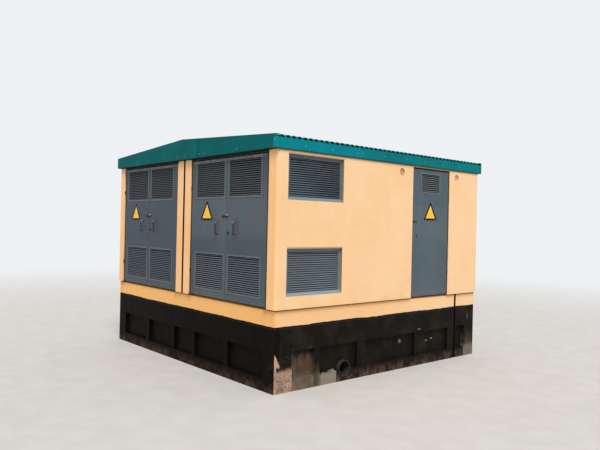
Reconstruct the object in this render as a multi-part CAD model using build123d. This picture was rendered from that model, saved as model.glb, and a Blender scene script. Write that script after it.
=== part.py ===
from build123d import *
import os

# Twin-module transformer kiosk. Millimetres, +Z up, front gable with the double doors facing -Y.
# The origin is the centre of the ground face. "east" is +X, "west" is -X.

# Modules
module_width = 2380
module_length = 4600
module_joint = 40
wall_height = 2140
wall = 100
party_wall = 80
floor_slab = 120
roof_slab_depth = 90
pillar_width = 190
pillar_depth = 150
corner_radius = 40
seat_gap = 0.3
overcut = 1
joint_seal_setback = 60
joint_seal_depth = 40

# Front doorways
lintel_height = 40
door_top_gap = 20
door_foot = 20
leaf_recess = 10
leaf_depth = 45
leaf_sheet = 3
hinge_gap = 20
meeting_gap = 8
swing_gap = 6

# Side doorways: the distance from the doorway to the back face of the module
side_door_width = 970
side_door_margin = 860
side_latch_gap = 14

# Door frames of steel angle
angle_leg = 38
angle_sheet = 4

# Hinges: how far their axis lies behind the facade, the height of the lower one,
# and how far the upper one is below the leaf's top
hinge_axis = 5
barrel_radius = 6
barrel_length = 60
hinge_plate = 6
hinge_foot = 380
hinge_drop = 420

# Bars across the inside of a leaf, over its lower louvre and under its upper one
stiffener_height = 40
stiffener_depth = 34
stiffener_margin = 60

# Louvres in the front leaves: the lower one stands above the shell's bottom edge,
# the upper one hangs from the leaf's top
leaf_louvre_hinge_margin = 155
leaf_louvre_meeting_margin = 60
leaf_louvre_foot = 140
leaf_lower_louvre_height = 520
leaf_louvre_drop = 45
leaf_upper_louvre_height = 515
louvre_bar = 25
louvre_bar_proud = 4
leaf_blade_pitch = 31

# Louvre in the side leaves
side_louvre_start = 215
side_louvre_width = 465
side_louvre_drop = 75
side_louvre_height = 291

# Louvre blades
blade_sheet = 2.5
blade_lip = 9
blade_rise = 34
blade_depth = 30
blade_setback = 6
tunnel_sheet = 3

# Louvres in the long walls
wall_louvre_margin = 180
wall_louvre_width = 1030
wall_louvre_foot = 170
wall_lower_louvre_height = 638
wall_louvre_drop = 68
wall_upper_louvre_height = 612
wall_louvre_recess = 35
wall_louvre_depth = 50
wall_louvre_border = 46
wall_blade_pitch = 30
wall_sill_height = 46
wall_sill_lip = 4

# Flat sides that round bars and round plates are drawn with
bar_sides = 12
plate_sides = 24

# Pull handles, latches and lock plates
pull_height = 170
pull_reach = 40
pull_bar = 14
pull_centre = 1055
pull_inset = 228
latch_height = 1228
latch_size = [100, 30]
latch_proud = 16
latch_inset = 52
lock_height = 990
lock_radius = 20
lock_proud = 8
lock_inset = 46
side_lock_inset = 105
keyhole_radius = 4

# Lifting points in the long walls, on both sides of the side doorway
lifting_before_door = 275
lifting_behind_door = 200
lifting_drop = 140
lifting_radius = 56
lifting_pocket_depth = 26
lifting_block = 128
lifting_bar = 12
lifting_loop_height = 50
lifting_reach = 30

# Base: ribs and the panels between them, from the corner to the middle of the front,
# and from the front face to the joint; the panels share what the ribs leave
base_height = 1110
base_setback = 30
base_wall = 160
base_floor = 60
base_panel_depth = 50
base_panel_top = 540
base_ledge = 165
base_joint = 36
base_end_length = 544
front_ribs = [255, 105, 76]
front_panels = [840, 810, 284]
long_ribs = [337, 108, 164, 49]
long_last_rib = 175
long_panels = [400, 747, 1167, 843]
end_panel_margin = 28
end_panel_width = 246
cable_hole_margin = 262
cable_hole_height = 180
cable_hole_radius = 118

# Roof
fascia_overlap = 18
fascia_sheet = 2
front_fascia_reach = 55
side_fascia_reach = 20
eave_rise = 76
ridge_rise = 142
fascia_cap = 70
fascia_lap = 500
fascia_lap_width = 45
wave_pitch = 100
wave_depth = 33
wave_crest = 34
wave_web = 14
wave_sheet = 2
ridge_cap_width = 320
ridge_gap = 10
rafter_width = 60
rafter_count = 6
trim_leg = 60

# Derived places
half_width = module_joint / 2 + module_width
inner_face = module_joint / 2
front = -module_length / 2
back = module_length / 2
shell = base_height
door_head = wall_height - lintel_height
door_top = door_head - door_top_gap
door_opening = module_width - 2 * pillar_width
hinge_heights = [hinge_foot, door_top - hinge_drop]
leaf_back = leaf_recess + leaf_depth
frame_face = leaf_back + swing_gap
front_leaf_width = (door_opening - 2 * hinge_gap - meeting_gap) / 2
side_leaf_width = side_door_width - hinge_gap - side_latch_gap
side_door_start = module_length - side_door_margin - side_door_width
side_door_end = side_door_start + side_door_width
leaf_louvre_top = door_top - leaf_louvre_drop
leaf_louvre_low = [leaf_louvre_foot, leaf_louvre_foot + leaf_lower_louvre_height]
leaf_louvre_high = [leaf_louvre_top - leaf_upper_louvre_height, leaf_louvre_top]
side_louvre_top = door_top - side_louvre_drop
side_louvre = [side_louvre_top - side_louvre_height, side_louvre_top]
wall_louvre_top = wall_height - wall_louvre_drop
wall_louvre_low = [wall_louvre_foot, wall_louvre_foot + wall_lower_louvre_height]
wall_louvre_high = [wall_louvre_top - wall_upper_louvre_height, wall_louvre_top]
lifting_starts = [side_door_start - lifting_before_door, side_door_end + lifting_behind_door]
lifting_height = wall_height - lifting_drop
base_joint_start = module_length - base_setback - base_end_length - base_joint
slab_top = shell + wall_height + roof_slab_depth
eave_reach = half_width + side_fascia_reach
eave_height = wall_height + roof_slab_depth + eave_rise
ridge_height = eave_height + ridge_rise
slope = ridge_rise / eave_reach
fascia_bottom = wall_height - fascia_overlap


def block(x0, x1, y0, y1, z0, z1):
    """A rectangular block between two corners."""
    return Pos(x0, y0, z0) * Box(x1 - x0, y1 - y0, z1 - z0, align=(Align.MIN, Align.MIN, Align.MIN))


def prism_x(points, x0, x1):
    """A profile of (y, z) points drawn along X."""
    outline = make_face(Polyline(*[(x0, y, z) for y, z in points], close=True))
    return extrude(outline, amount=x1 - x0, dir=(1, 0, 0))


def prism_y(points, y0, y1):
    """A profile of (x, z) points drawn along Y."""
    outline = make_face(Polyline(*[(x, y0, z) for x, z in points], close=True))
    return extrude(outline, amount=y1 - y0, dir=(0, 1, 0))


def west(shape):
    """The same piece on the west module."""
    return mirror(shape, about=Plane.YZ)


def round_bar(radius, length, sides=bar_sides):
    """Length of round bar along Z about the origin, drawn with a few flat sides."""
    return extrude(RegularPolygon(radius, sides), amount=length / 2, both=True)


def save(name, *shapes):
    """One STEP file per named piece."""
    solids = [solid for shape in shapes for solid in shape.solids()]
    export_step(Compound(solids), f"parts/{name}.step")


def roof_line(x):
    """Height of the roof's crests above the ground, at a distance from the ridge."""
    return shell + ridge_height - slope * abs(x)


# Base

def panel_spans(start, end, ribs, panels):
    """Start and end of each recessed panel, along a wall of ribs and panels in turn."""
    share = (end - start - sum(ribs)) / sum(panels)
    spans = []
    for rib, panel in zip(ribs, panels):
        start += rib
        spans.append((start, start + panel * share))
        start += panel * share
    return spans


def base_front_wall():
    """Front wall of the precast base, with its cast-in panels between ribs."""
    left = -(half_width - base_setback)
    y0 = front + base_setback
    body = block(left, -left, y0, y0 + base_wall, 0, base_height)
    for x0, x1 in panel_spans(left, 0, front_ribs, front_panels):
        panel = block(x0, x1, y0 - overcut, y0 + base_panel_depth, base_ledge, base_panel_top)
        body -= panel + west(panel)
    return body


def long_wall_panels():
    """Panels of the base's long wall, between the front face and the open joint."""
    end = front + base_joint_start - long_last_rib
    return panel_spans(front, end, long_ribs, long_panels)


def base_long_wall():
    """East wall of the base: four panels between ribs."""
    x1 = half_width - base_setback
    y0 = front + base_setback + base_wall
    body = block(x1 - base_wall, x1, y0, front + base_joint_start, 0, base_height)
    for start, end in long_wall_panels():
        body -= block(x1 - base_panel_depth, x1 + overcut, start, end, base_ledge, base_panel_top)
    return body


def cable_hole(wall_body):
    """The round cable entry through the east wall, near the foot of its second panel."""
    x1 = half_width - base_setback
    y = long_wall_panels()[1][1] - cable_hole_margin
    drill = Cylinder(cable_hole_radius, 3 * base_wall, rotation=(0, 90, 0))
    return wall_body - Pos(x1, y, cable_hole_height) * drill


def base_end_block():
    """The short second block of the base, hollow, behind the open joint."""
    x1 = half_width - base_setback
    y1 = back - base_setback
    y0 = y1 - base_end_length
    body = block(-x1, x1, y0, y1, 0, base_height)
    inner = x1 - base_wall
    body -= block(-inner, inner, y0 + base_wall, y1 - base_wall, base_floor, base_height + overcut)
    start = y0 + end_panel_margin
    deep = x1 - base_panel_depth
    panel = block(deep, x1 + overcut, start, start + end_panel_width, base_ledge, base_panel_top)
    return body - panel - west(panel)


# Module shell

def floor_slab_east():
    """Module floor: it stops behind the front leaves and runs into the side doorway."""
    z0, z1 = shell, shell + floor_slab
    y0, y1 = front + frame_face, back - wall
    x0, x1 = inner_face + pillar_width, half_width - pillar_width
    slab = block(x0, x1, y0, y1, z0, z1)
    slab += block(inner_face + party_wall, half_width - wall, front + pillar_depth, y1, z0, z1)
    door = front + side_door_start
    x0, x1 = half_width - wall - overcut, half_width - frame_face
    return slab + block(x0, x1, door, door + side_door_width, z0, z1)


def front_pillar(x0, x1, outer_edge):
    """Front pillar; the one on the building's corner has a rounded arris."""
    pillar = block(x0, x1, front, front + pillar_depth, shell, shell + wall_height)
    if outer_edge:
        corner = pillar.edges().filter_by(Axis.Z).group_by(Axis.Y)[0].sort_by(Axis.X)[-1]
        pillar = fillet(corner, corner_radius)
    return pillar


def long_wall_front():
    """Long wall from the front pillar to the side doorway, with both louvre openings."""
    y0 = front + pillar_depth
    y1 = front + side_door_start
    body = block(half_width - wall, half_width, y0, y1, shell, shell + wall_height)
    x0, x1 = half_width - wall - overcut, half_width + overcut
    start = front + wall_louvre_margin
    for low, high in (wall_louvre_low, wall_louvre_high):
        body -= block(x0, x1, start, start + wall_louvre_width, shell + low, shell + high)
    return body - lifting_seat(lifting_starts[0], x0, x1)


def long_wall_back():
    """Long wall from the side doorway to the back wall."""
    y0 = front + side_door_end
    body = block(half_width - wall, half_width, y0, back - wall, shell, shell + wall_height)
    return body - lifting_seat(lifting_starts[1], half_width - wall - overcut, half_width + overcut)


def lifting_seat(start, x0, x1):
    """Square place of one lifting block in the long wall, between two distances from the middle."""
    half = lifting_block / 2
    y, z = front + start, shell + lifting_height
    return block(x0, x1, y - half, y + half, z - half, z + half)


def lifting_pocket(start):
    """Cast-in block of one lifting point: a back plate, and four corners that leave the pocket round."""
    half = lifting_block / 2
    y, z = front + start, shell + lifting_height
    floor = half_width - lifting_pocket_depth
    drill = Cylinder(lifting_radius, 2 * lifting_pocket_depth, rotation=(0, 90, 0))
    pieces = [lifting_seat(start, half_width - wall, floor)]
    for y0 in (y - half, y):
        for z0 in (z - half, z):
            corner = block(floor, half_width, y0, y0 + half, z0, z0 + half)
            pieces.append(corner - Pos(half_width, y, z) * drill)
    return pieces


def side_lintel():
    """Strip of wall over the side doorway."""
    y0 = front + side_door_start
    x0 = half_width - wall
    return block(x0, half_width, y0, y0 + side_door_width, shell + door_head, shell + wall_height)


def back_wall():
    """Plain back wall of one module."""
    body = block(inner_face, half_width, back - wall, back, shell, shell + wall_height)
    corner = body.edges().filter_by(Axis.Z).group_by(Axis.Y)[-1].sort_by(Axis.X)[-1]
    return fillet(corner, corner_radius)


def joint_seals():
    """Strips that close the joint between the modules, set back from the front and back faces."""
    x1 = inner_face - seat_gap
    y0 = front + joint_seal_setback
    seal = block(-x1, x1, y0, y0 + joint_seal_depth, shell, slab_top)
    return [seal, mirror(seal, about=Plane.XZ)]


def bar_loop(height, reach, bar):
    """Loop of round bar in three mitred lengths: it stands on y = 0, its grip upright about z = 0."""
    length = reach + bar / 2
    leg = Pos(0, -length / 2, height / 2) * Rot(90, 0, 0) * round_bar(bar / 2, length)
    grip = Pos(0, -reach, 0) * round_bar(bar / 2, height + bar)
    mitre = Plane(origin=(0, -reach, height / 2), z_dir=(0, 1, 1))
    leg = split(leg, bisect_by=mitre, keep=Keep.TOP)
    grip = split(grip, bisect_by=mitre, keep=Keep.BOTTOM)
    low_mitre = Plane(origin=(0, -reach, -height / 2), z_dir=(0, 1, -1))
    grip = split(grip, bisect_by=low_mitre, keep=Keep.BOTTOM)
    return [leg, grip, mirror(leg, about=Plane.XY)]


def lifting_loop(start):
    """Bar of one lifting point, standing on the floor of its pocket."""
    seat = half_width - lifting_pocket_depth + seat_gap
    place = Pos(seat, front + start, shell + lifting_height) * Rot(0, 0, 90)
    return placed(place, bar_loop(lifting_loop_height, lifting_reach, lifting_bar))


# Louvres

def blades(x0, x1, y0, z0, z1, pitch):
    """Horizontal rain blades that fill z0 to z1: an upright front lip, then a slope up and inwards."""
    count = round((z1 - z0) / pitch)
    step = (z1 - z0) / count
    inner = y0 + blade_depth
    result = []
    for index in range(count):
        z = z0 + (index + 0.5) * step - blade_lip / 2
        top = min(z + blade_lip + blade_rise, z1 - blade_sheet)
        profile = [(y0, z), (y0, z + blade_lip), (inner, top), (inner, top - blade_sheet)]
        result.append(prism_x(profile, x0, x1))
    return result


def leaf_louvre(x0, x1, z0, z1, face):
    """Louvre unit of a leaf: sheet lining, raised flat bar on the leaf's face, and the blades between."""
    sheet = tunnel_sheet
    lining = block(x0 - sheet, x1 + sheet, face - overcut, face + leaf_depth, z0 - sheet, z1 + sheet)
    proud = face - louvre_bar_proud
    bar = block(x0 - louvre_bar, x1 + louvre_bar, proud, face, z0 - louvre_bar, z1 + louvre_bar)
    unit = lining + bar - block(x0, x1, proud - overcut, face + leaf_depth + overcut, z0, z1)
    ends = x0 - sheet / 2, x1 + sheet / 2
    for blade in blades(*ends, face + blade_setback, z0, z1, leaf_blade_pitch):
        unit += blade
    return unit


def wall_louvre(levels):
    """Louvre unit of a long wall, in its opening: frame, blades and a sloping sill, facing -Y."""
    low, high = levels
    x1 = wall_louvre_width - seat_gap
    y0 = wall_louvre_recess
    y1 = y0 + wall_louvre_depth
    z0, z1 = low + seat_gap, high - seat_gap
    border = wall_louvre_border
    frame = block(seat_gap, x1, y0, y1, z0, z1)
    opening = z0 + border, z1 - border
    frame -= block(border, wall_louvre_width - border, y0 - overcut, y1 + overcut, *opening)
    sill_back = z0 + wall_sill_height
    sill_front = z0 + wall_sill_lip
    y2 = y0 + overcut
    frame += prism_x([(leaf_recess, z0), (y2, z0), (y2, sill_back), (leaf_recess, sill_front)], seat_gap, x1)
    ends = border - overcut, wall_louvre_width - border + overcut
    for blade in blades(*ends, y0 + blade_setback, *opening, wall_blade_pitch):
        frame += blade
    return frame


# Doors, drawn with the hinge axis at x = 0, y = 0, the leaf towards +X and the outside towards -Y

def leaf(width, louvres):
    """Leaf of folded sheet, open at the back, with a place for each louvre: (start, end, low, high)."""
    sheet = leaf_sheet
    x0, x1 = hinge_gap / 2, hinge_gap / 2 + width
    y0 = leaf_recess - hinge_axis
    y1 = y0 + leaf_depth
    body = block(x0, x1, y0, y1, door_foot, door_top)
    body -= block(x0 + sheet, x1 - sheet, y0 + sheet, y1 + overcut, door_foot + sheet, door_top - sheet)
    room = tunnel_sheet + seat_gap
    for start, end, low, high in louvres:
        body -= block(x0 + start - room, x0 + end + room, y0 - overcut, y1, low - room, high + room)
    return body


def leaf_louvres(louvres):
    """The louvre units of a leaf, from (start, end, low, high) measured from the leaf's corner."""
    x0 = hinge_gap / 2
    face = leaf_recess - hinge_axis
    return [leaf_louvre(x0 + start, x0 + end, low, high, face) for start, end, low, high in louvres]


def stiffeners(width):
    """Bars behind a leaf's sheet, between its side folds."""
    x0 = hinge_gap / 2 + leaf_sheet + seat_gap
    x1 = hinge_gap / 2 + width - leaf_sheet - seat_gap
    y0 = leaf_recess - hinge_axis + leaf_sheet + seat_gap
    low = leaf_louvre_low[1] + stiffener_margin
    high = leaf_louvre_high[0] - stiffener_margin - stiffener_height
    return [block(x0, x1, y0, y0 + stiffener_depth, z0, z0 + stiffener_height) for z0 in (low, high)]


def hinge_halves(first, x0, y1):
    """Half of each hinge: a barrel, from a height over or under the hinge's middle, and its plate."""
    halves = []
    for height in hinge_heights:
        z0, z1 = height + first + seat_gap, height + first + barrel_length / 2 - seat_gap
        barrel = Pos(0, 0, (z0 + z1) / 2) * round_bar(barrel_radius, z1 - z0)
        halves.append(barrel + block(x0, x0 + hinge_plate, 0, y1, z0, z1))
    return halves


def leaf_hinges():
    """The leaf's upper half of each hinge, with its plate on the leaf's edge."""
    return hinge_halves(0, hinge_gap / 2 - hinge_plate, leaf_back - hinge_axis - swing_gap)


def frame_hinges():
    """The frame's lower half of each hinge, with its plate running back through the gap."""
    return hinge_halves(-barrel_length / 2, -barrel_radius, frame_face - hinge_axis)


def jamb_angle(z0, z1):
    """Upright of steel angle against the masonry, seen with the opening towards +X."""
    x0 = -hinge_gap / 2 + seat_gap
    y0 = frame_face - hinge_axis
    upright = block(x0, x0 + angle_leg, y0, y0 + angle_sheet, z0, z1)
    return upright + block(x0, x0 + angle_sheet, y0, y0 + angle_leg, z0, z1)


def head_angle(width, z1):
    """Head of steel angle between the uprights, under the lintel."""
    x0 = -hinge_gap / 2 + 2 * seat_gap + angle_leg
    x1 = -hinge_gap / 2 + width - 2 * seat_gap - angle_leg
    y0 = frame_face - hinge_axis
    top = z1 - seat_gap
    bar = block(x0, x1, y0, y0 + angle_sheet, top - angle_leg, top)
    return bar + block(x0, x1, y0, y0 + angle_leg, top - angle_sheet, top)


def pull_handle(x, face):
    """Round bar handle on the leaf's face."""
    return placed(Pos(x, face - seat_gap, pull_centre), bar_loop(pull_height, pull_reach, pull_bar))


def latch(x, face):
    """Latch plate with a sloping rain hood over its bolt."""
    wide, high = latch_size
    y1 = face - seat_gap
    profile = [(y1, latch_height - high / 2), (y1 - latch_proud / 3, latch_height - high / 2),
               (y1 - latch_proud, latch_height), (y1, latch_height + high / 2)]
    return prism_x(profile, x - wide / 2, x + wide / 2)


def lock_plate(x, face):
    """Round lock plate with its keyhole."""
    place = Pos(x, face - seat_gap - lock_proud / 2, lock_height) * Rot(90, 0, 0)
    plate = round_bar(lock_radius, lock_proud, plate_sides)
    return place * (plate - round_bar(keyhole_radius, 2 * lock_proud))


# Roof

def roof_sheet_east():
    """Trapezoid profiled sheet from the ridge to the east eave."""
    count = int(module_length / wave_pitch)
    edge = back + front_fascia_reach - fascia_sheet - seat_gap
    first = -(count - 1) * wave_pitch / 2
    top = [(-edge, -wave_depth)]
    for index in range(count):
        y = first + index * wave_pitch
        half = wave_crest / 2
        foot = half + wave_web
        top += [(y - foot, -wave_depth), (y - half, 0), (y + half, 0), (y + foot, -wave_depth)]
    top.append((edge, -wave_depth))
    under = [(y, z - wave_sheet) for y, z in reversed(top)]
    start = ridge_gap / 2
    z0 = roof_line(start)
    outline = make_face(Polyline(*[(start, y, z0 + z) for y, z in top + under], close=True))
    run = eave_reach - start
    direction = Vector(run, 0, -run * slope)
    return extrude(outline, amount=direction.length, dir=direction.normalized())


def ridge_cap():
    """Folded cap over the top ends of both sheets."""
    half = ridge_cap_width / 2
    top = seat_gap + wave_sheet
    edge = back + front_fascia_reach - fascia_sheet - seat_gap
    side, ridge = roof_line(half), roof_line(0)
    profile = [(-half, side + seat_gap), (0, ridge + seat_gap), (half, side + seat_gap),
               (half, side + top), (0, ridge + top), (-half, side + top)]
    return prism_y(profile, -edge, edge)


def rafters_east():
    """Tapered bearers on the roof slab, under the sheet."""
    x0, x1 = ridge_gap / 2, half_width - fascia_sheet
    drop = wave_depth + wave_sheet + seat_gap
    z0 = slab_top
    profile = [(x0, z0), (x1, z0), (x1, roof_line(x1) - drop), (x0, roof_line(x0) - drop)]
    pieces = []
    gap = (module_length - rafter_width) / (rafter_count - 1)
    for index in range(rafter_count):
        y = front + index * gap
        pieces.append(prism_y(profile, y, y + rafter_width))
    return pieces


def gable_fascia(x0, x1):
    """Front gable cladding between two distances from the ridge: face, lip under it and sloping cap."""
    face = front - front_fascia_reach
    low = shell + fascia_bottom
    corners = sorted({x0, x1, 0} if x0 < 0 < x1 else {x0, x1})
    top = [(x, roof_line(x)) for x in corners]
    plate = prism_y([(x0, low), (x1, low)] + top[::-1], face, face + fascia_sheet)
    reach = eave_reach - fascia_sheet - seat_gap
    plate += block(max(x0, -reach), min(x1, reach), face, front - seat_gap, low, low + fascia_sheet)
    lower = [(x, z + seat_gap + wave_sheet) for x, z in top]
    upper = [(x, z + fascia_sheet) for x, z in lower]
    plate += prism_y(lower + upper[::-1], face, face + fascia_cap)
    skirt = [(x, z - fascia_sheet) for x, z in top]
    return plate + prism_y(skirt + upper[::-1], face, face + fascia_sheet)


def fascia_lap_strip():
    """Edge of the east gable sheet that laps over the face of the west one."""
    face = front - front_fascia_reach
    low = shell + fascia_bottom
    x0, x1 = fascia_lap - fascia_lap_width, fascia_lap + fascia_lap_width / 2
    outline = [(x0, low), (x1, low), (x1, roof_line(x1)), (x0, roof_line(x0))]
    strip = prism_y(outline, face - fascia_sheet, face)
    over = face - seat_gap, face + overcut, low - overcut, roof_line(x0) + overcut
    return strip - block(x0 - overcut, fascia_lap, *over)


def side_fascia_east():
    """Cladding under the east eave: face with a lip at the wall and a flange under the sheet."""
    face = eave_reach
    low = shell + fascia_bottom
    high = roof_line(face) - wave_depth - wave_sheet - seat_gap
    edge = back + front_fascia_reach - fascia_sheet - seat_gap
    plate = block(face - fascia_sheet, face, -edge, edge, low, high)
    plate += block(half_width + seat_gap, face, front, back, low, low + fascia_sheet)
    return plate


def corner_trims():
    """Angle trims over the four corners of the cladding."""
    z0, z1 = shell + fascia_bottom, roof_line(eave_reach) - wave_depth - wave_sheet - seat_gap
    x1 = eave_reach + fascia_sheet
    y0 = front - front_fascia_reach - fascia_sheet
    trim = block(x1 - trim_leg, x1, y0, y0 + fascia_sheet - seat_gap, z0, z1)
    trim += block(x1 - fascia_sheet + seat_gap, x1, y0, y0 + trim_leg, z0, z1)
    rear = mirror(trim, about=Plane.XZ)
    return [trim, west(trim), rear, west(rear)]


# Placing

def front_leaf_louvres():
    """Both louvres of a front leaf, measured from its hinge edge."""
    start = leaf_louvre_hinge_margin
    end = front_leaf_width - leaf_louvre_meeting_margin
    return [(start, end, low, high) for low, high in (leaf_louvre_low, leaf_louvre_high)]


def placed(place, pieces):
    """Every piece, moved to a place."""
    return [place * piece for piece in pieces]


def mirrored(pieces):
    """Every piece, as it is on the other hand."""
    return [west(piece) for piece in pieces]


def facing_east(shape, y):
    """Turn a piece drawn facing -Y to face +X, with its own +X towards the front."""
    turned = Rot(0, 0, 90) * mirror(shape, about=Plane.YZ)
    return Pos(half_width - hinge_axis, y, shell) * turned


def build_base():
    """The precast base and its floor."""
    x1 = half_width - base_setback - base_wall
    y0 = front + base_setback + base_wall
    east_wall = base_long_wall()
    save("base_front_wall", base_front_wall())
    save("base_east_wall", cable_hole(east_wall))
    save("base_west_wall", west(east_wall))
    save("base_floor", block(-x1, x1, y0, front + base_joint_start, 0, base_floor))
    save("base_end_block", base_end_block())


def build_shell():
    """Concrete pieces of both modules."""
    outer = half_width - pillar_width
    inner = inner_face + pillar_width
    party_face = inner_face + party_wall
    head, top = shell + door_head, shell + wall_height
    pieces = {
        "floor": floor_slab_east(),
        "outer_pillar": front_pillar(outer, half_width, True),
        "inner_pillar": front_pillar(inner_face, inner, False),
        "front_lintel": block(inner, outer, front, front + pillar_depth, head, top),
        "long_wall_front": long_wall_front(),
        "long_wall_back": long_wall_back(),
        "side_lintel": side_lintel(),
        "party_wall": block(inner_face, party_face, front + pillar_depth, back - wall, shell, top),
        "back_wall": back_wall(),
        "roof_slab": block(inner_face, half_width, front, back, top, slab_top),
    }
    for name, piece in pieces.items():
        save(f"east_{name}", piece)
        save(f"west_{name}", west(piece))
    for name, lifting_piece in (("loops", lifting_loop), ("pockets", lifting_pocket)):
        east = [solid for start in lifting_starts for solid in lifting_piece(start)]
        save(f"lifting_{name}", *east, *mirrored(east))
    save("joint_seals", *joint_seals())


def build_wall_louvres():
    """Louvre units in the four openings of the long walls."""
    y = front + wall_louvre_margin
    for name, levels in (("lower", wall_louvre_low), ("upper", wall_louvre_high)):
        unit = Pos(half_width, y, shell) * (Rot(0, 0, 90) * wall_louvre(levels))
        save(f"east_{name}_louvre", unit)
        save(f"west_{name}_louvre", west(unit))


def build_front_doors():
    """Frames, leaves and door furniture of both front doorways."""
    z0, z1 = floor_slab, door_head
    louvres = front_leaf_louvres()
    drawn_leaf = [leaf(front_leaf_width, louvres), *leaf_louvres(louvres), *stiffeners(front_leaf_width)]
    face = leaf_recess - hinge_axis
    free_edge = hinge_gap / 2 + front_leaf_width
    pull = [*pull_handle(free_edge - pull_inset, face), *leaf_hinges()]
    hasp = latch(free_edge - latch_inset, face)
    lock = lock_plate(free_edge - lock_inset, face)
    jamb = [jamb_angle(z0 + seat_gap, z1 - seat_gap), *frame_hinges()]
    head = head_angle(door_opening, z1)
    for module, start in (("east", inner_face + pillar_width), ("west", -half_width + pillar_width)):
        left = Pos(start + hinge_gap / 2, front + hinge_axis, shell)
        right = Pos(start + door_opening - hinge_gap / 2, front + hinge_axis, shell)
        save(f"{module}_front_frame", *placed(left, [*jamb, head]), *placed(right, mirrored(jamb)))
        save(f"{module}_front_left_leaf", *placed(left, drawn_leaf))
        save(f"{module}_front_right_leaf", *placed(right, mirrored(drawn_leaf)))
        save(f"{module}_front_left_handle", *placed(left, [*pull, hasp]))
        save(f"{module}_front_right_handle", *placed(right, mirrored([*pull, lock])))


def build_side_doors():
    """Frame, leaf and door furniture of the side doorways."""
    z0, z1 = floor_slab, door_head
    hinge_y = front + side_door_end - hinge_gap / 2
    edge = side_leaf_width - side_louvre_start
    louvres = [(edge - side_louvre_width, edge, *side_louvre)]
    drawn_leaf = [leaf(side_leaf_width, louvres), *leaf_louvres(louvres), *stiffeners(side_leaf_width)]
    face = leaf_recess - hinge_axis
    free_edge = hinge_gap / 2 + side_leaf_width
    jamb = jamb_angle(z0 + seat_gap, z1 - seat_gap)
    far_jamb = Pos(side_door_width - hinge_gap, 0, 0) * west(jamb)
    frame = [jamb, far_jamb, head_angle(side_door_width, z1), *frame_hinges()]
    lock = lock_plate(free_edge - side_lock_inset, face)
    furniture = [latch(free_edge - latch_inset, face), lock, *leaf_hinges()]
    for name, pieces in (("frame", frame), ("leaf", drawn_leaf), ("handle", furniture)):
        east = [facing_east(piece, hinge_y) for piece in pieces]
        save(f"east_side_{name}", *east)
        save(f"west_side_{name}", *mirrored(east))


def build_roof():
    """Sheets, bearers, ridge cap and cladding of the roof."""
    sheet = roof_sheet_east()
    bearers = rafters_east()
    fascia = side_fascia_east()
    save("roof_sheet_east", sheet)
    save("roof_sheet_west", west(sheet))
    save("roof_bearers", *bearers, *[west(bearer) for bearer in bearers])
    save("ridge_cap", ridge_cap())
    save("fascia_front_west", gable_fascia(-eave_reach, fascia_lap - seat_gap))
    save("fascia_front_east", gable_fascia(fascia_lap, eave_reach) + fascia_lap_strip())
    save("fascia_back", mirror(gable_fascia(-eave_reach, eave_reach), about=Plane.XZ))
    save("fascia_east", fascia)
    save("fascia_west", west(fascia))
    save("corner_trims", *corner_trims())


os.makedirs("parts", exist_ok=True)
build_base()
build_shell()
build_wall_louvres()
build_front_doors()
build_side_doors()
build_roof()
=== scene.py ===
import logging
import math
from dataclasses import dataclass, field
from enum import Enum
from typing import Any, Sequence, Union

import bmesh
import bpy
from mathutils import Matrix, Vector


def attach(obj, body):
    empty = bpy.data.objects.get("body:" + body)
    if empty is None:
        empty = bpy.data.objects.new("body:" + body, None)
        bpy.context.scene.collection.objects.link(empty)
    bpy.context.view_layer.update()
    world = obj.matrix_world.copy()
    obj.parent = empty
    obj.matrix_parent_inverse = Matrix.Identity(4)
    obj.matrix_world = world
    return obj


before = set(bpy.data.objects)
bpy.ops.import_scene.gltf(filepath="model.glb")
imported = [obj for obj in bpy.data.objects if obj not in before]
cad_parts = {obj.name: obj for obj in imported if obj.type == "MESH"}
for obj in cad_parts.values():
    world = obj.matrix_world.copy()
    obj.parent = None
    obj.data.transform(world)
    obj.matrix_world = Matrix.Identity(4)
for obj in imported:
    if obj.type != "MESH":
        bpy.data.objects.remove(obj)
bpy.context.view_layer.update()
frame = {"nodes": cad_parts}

log = logging.getLogger("compact_substation")

Point = tuple[float, float, float]
Colour = tuple[float, float, float]
Span = tuple[float, float]

SMOOTH_ANGLE = math.radians(35.0)
SAME_POINT = 0.00001

# Places on the object in metres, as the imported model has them

MODULE_SHIFTS = {"east": 0.0, "west": -2.4}
LEAF_FACE = -2.29
SIDE_FACE = 2.39
DOORWAY_SHIFT = 0.01
DOORWAY_MIDDLE = 1.20
DOORWAY_HALF = 1.0
DOORWAY_HEAD = 3.21
SIDE_DOORWAY = (0.47, 1.44)
WALL_LOUVRES = (-2.12, -1.09)
WALL_LOUVRE_LEVELS = ((1.28, 1.918), (2.57, 3.182))


# Shader maths

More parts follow.
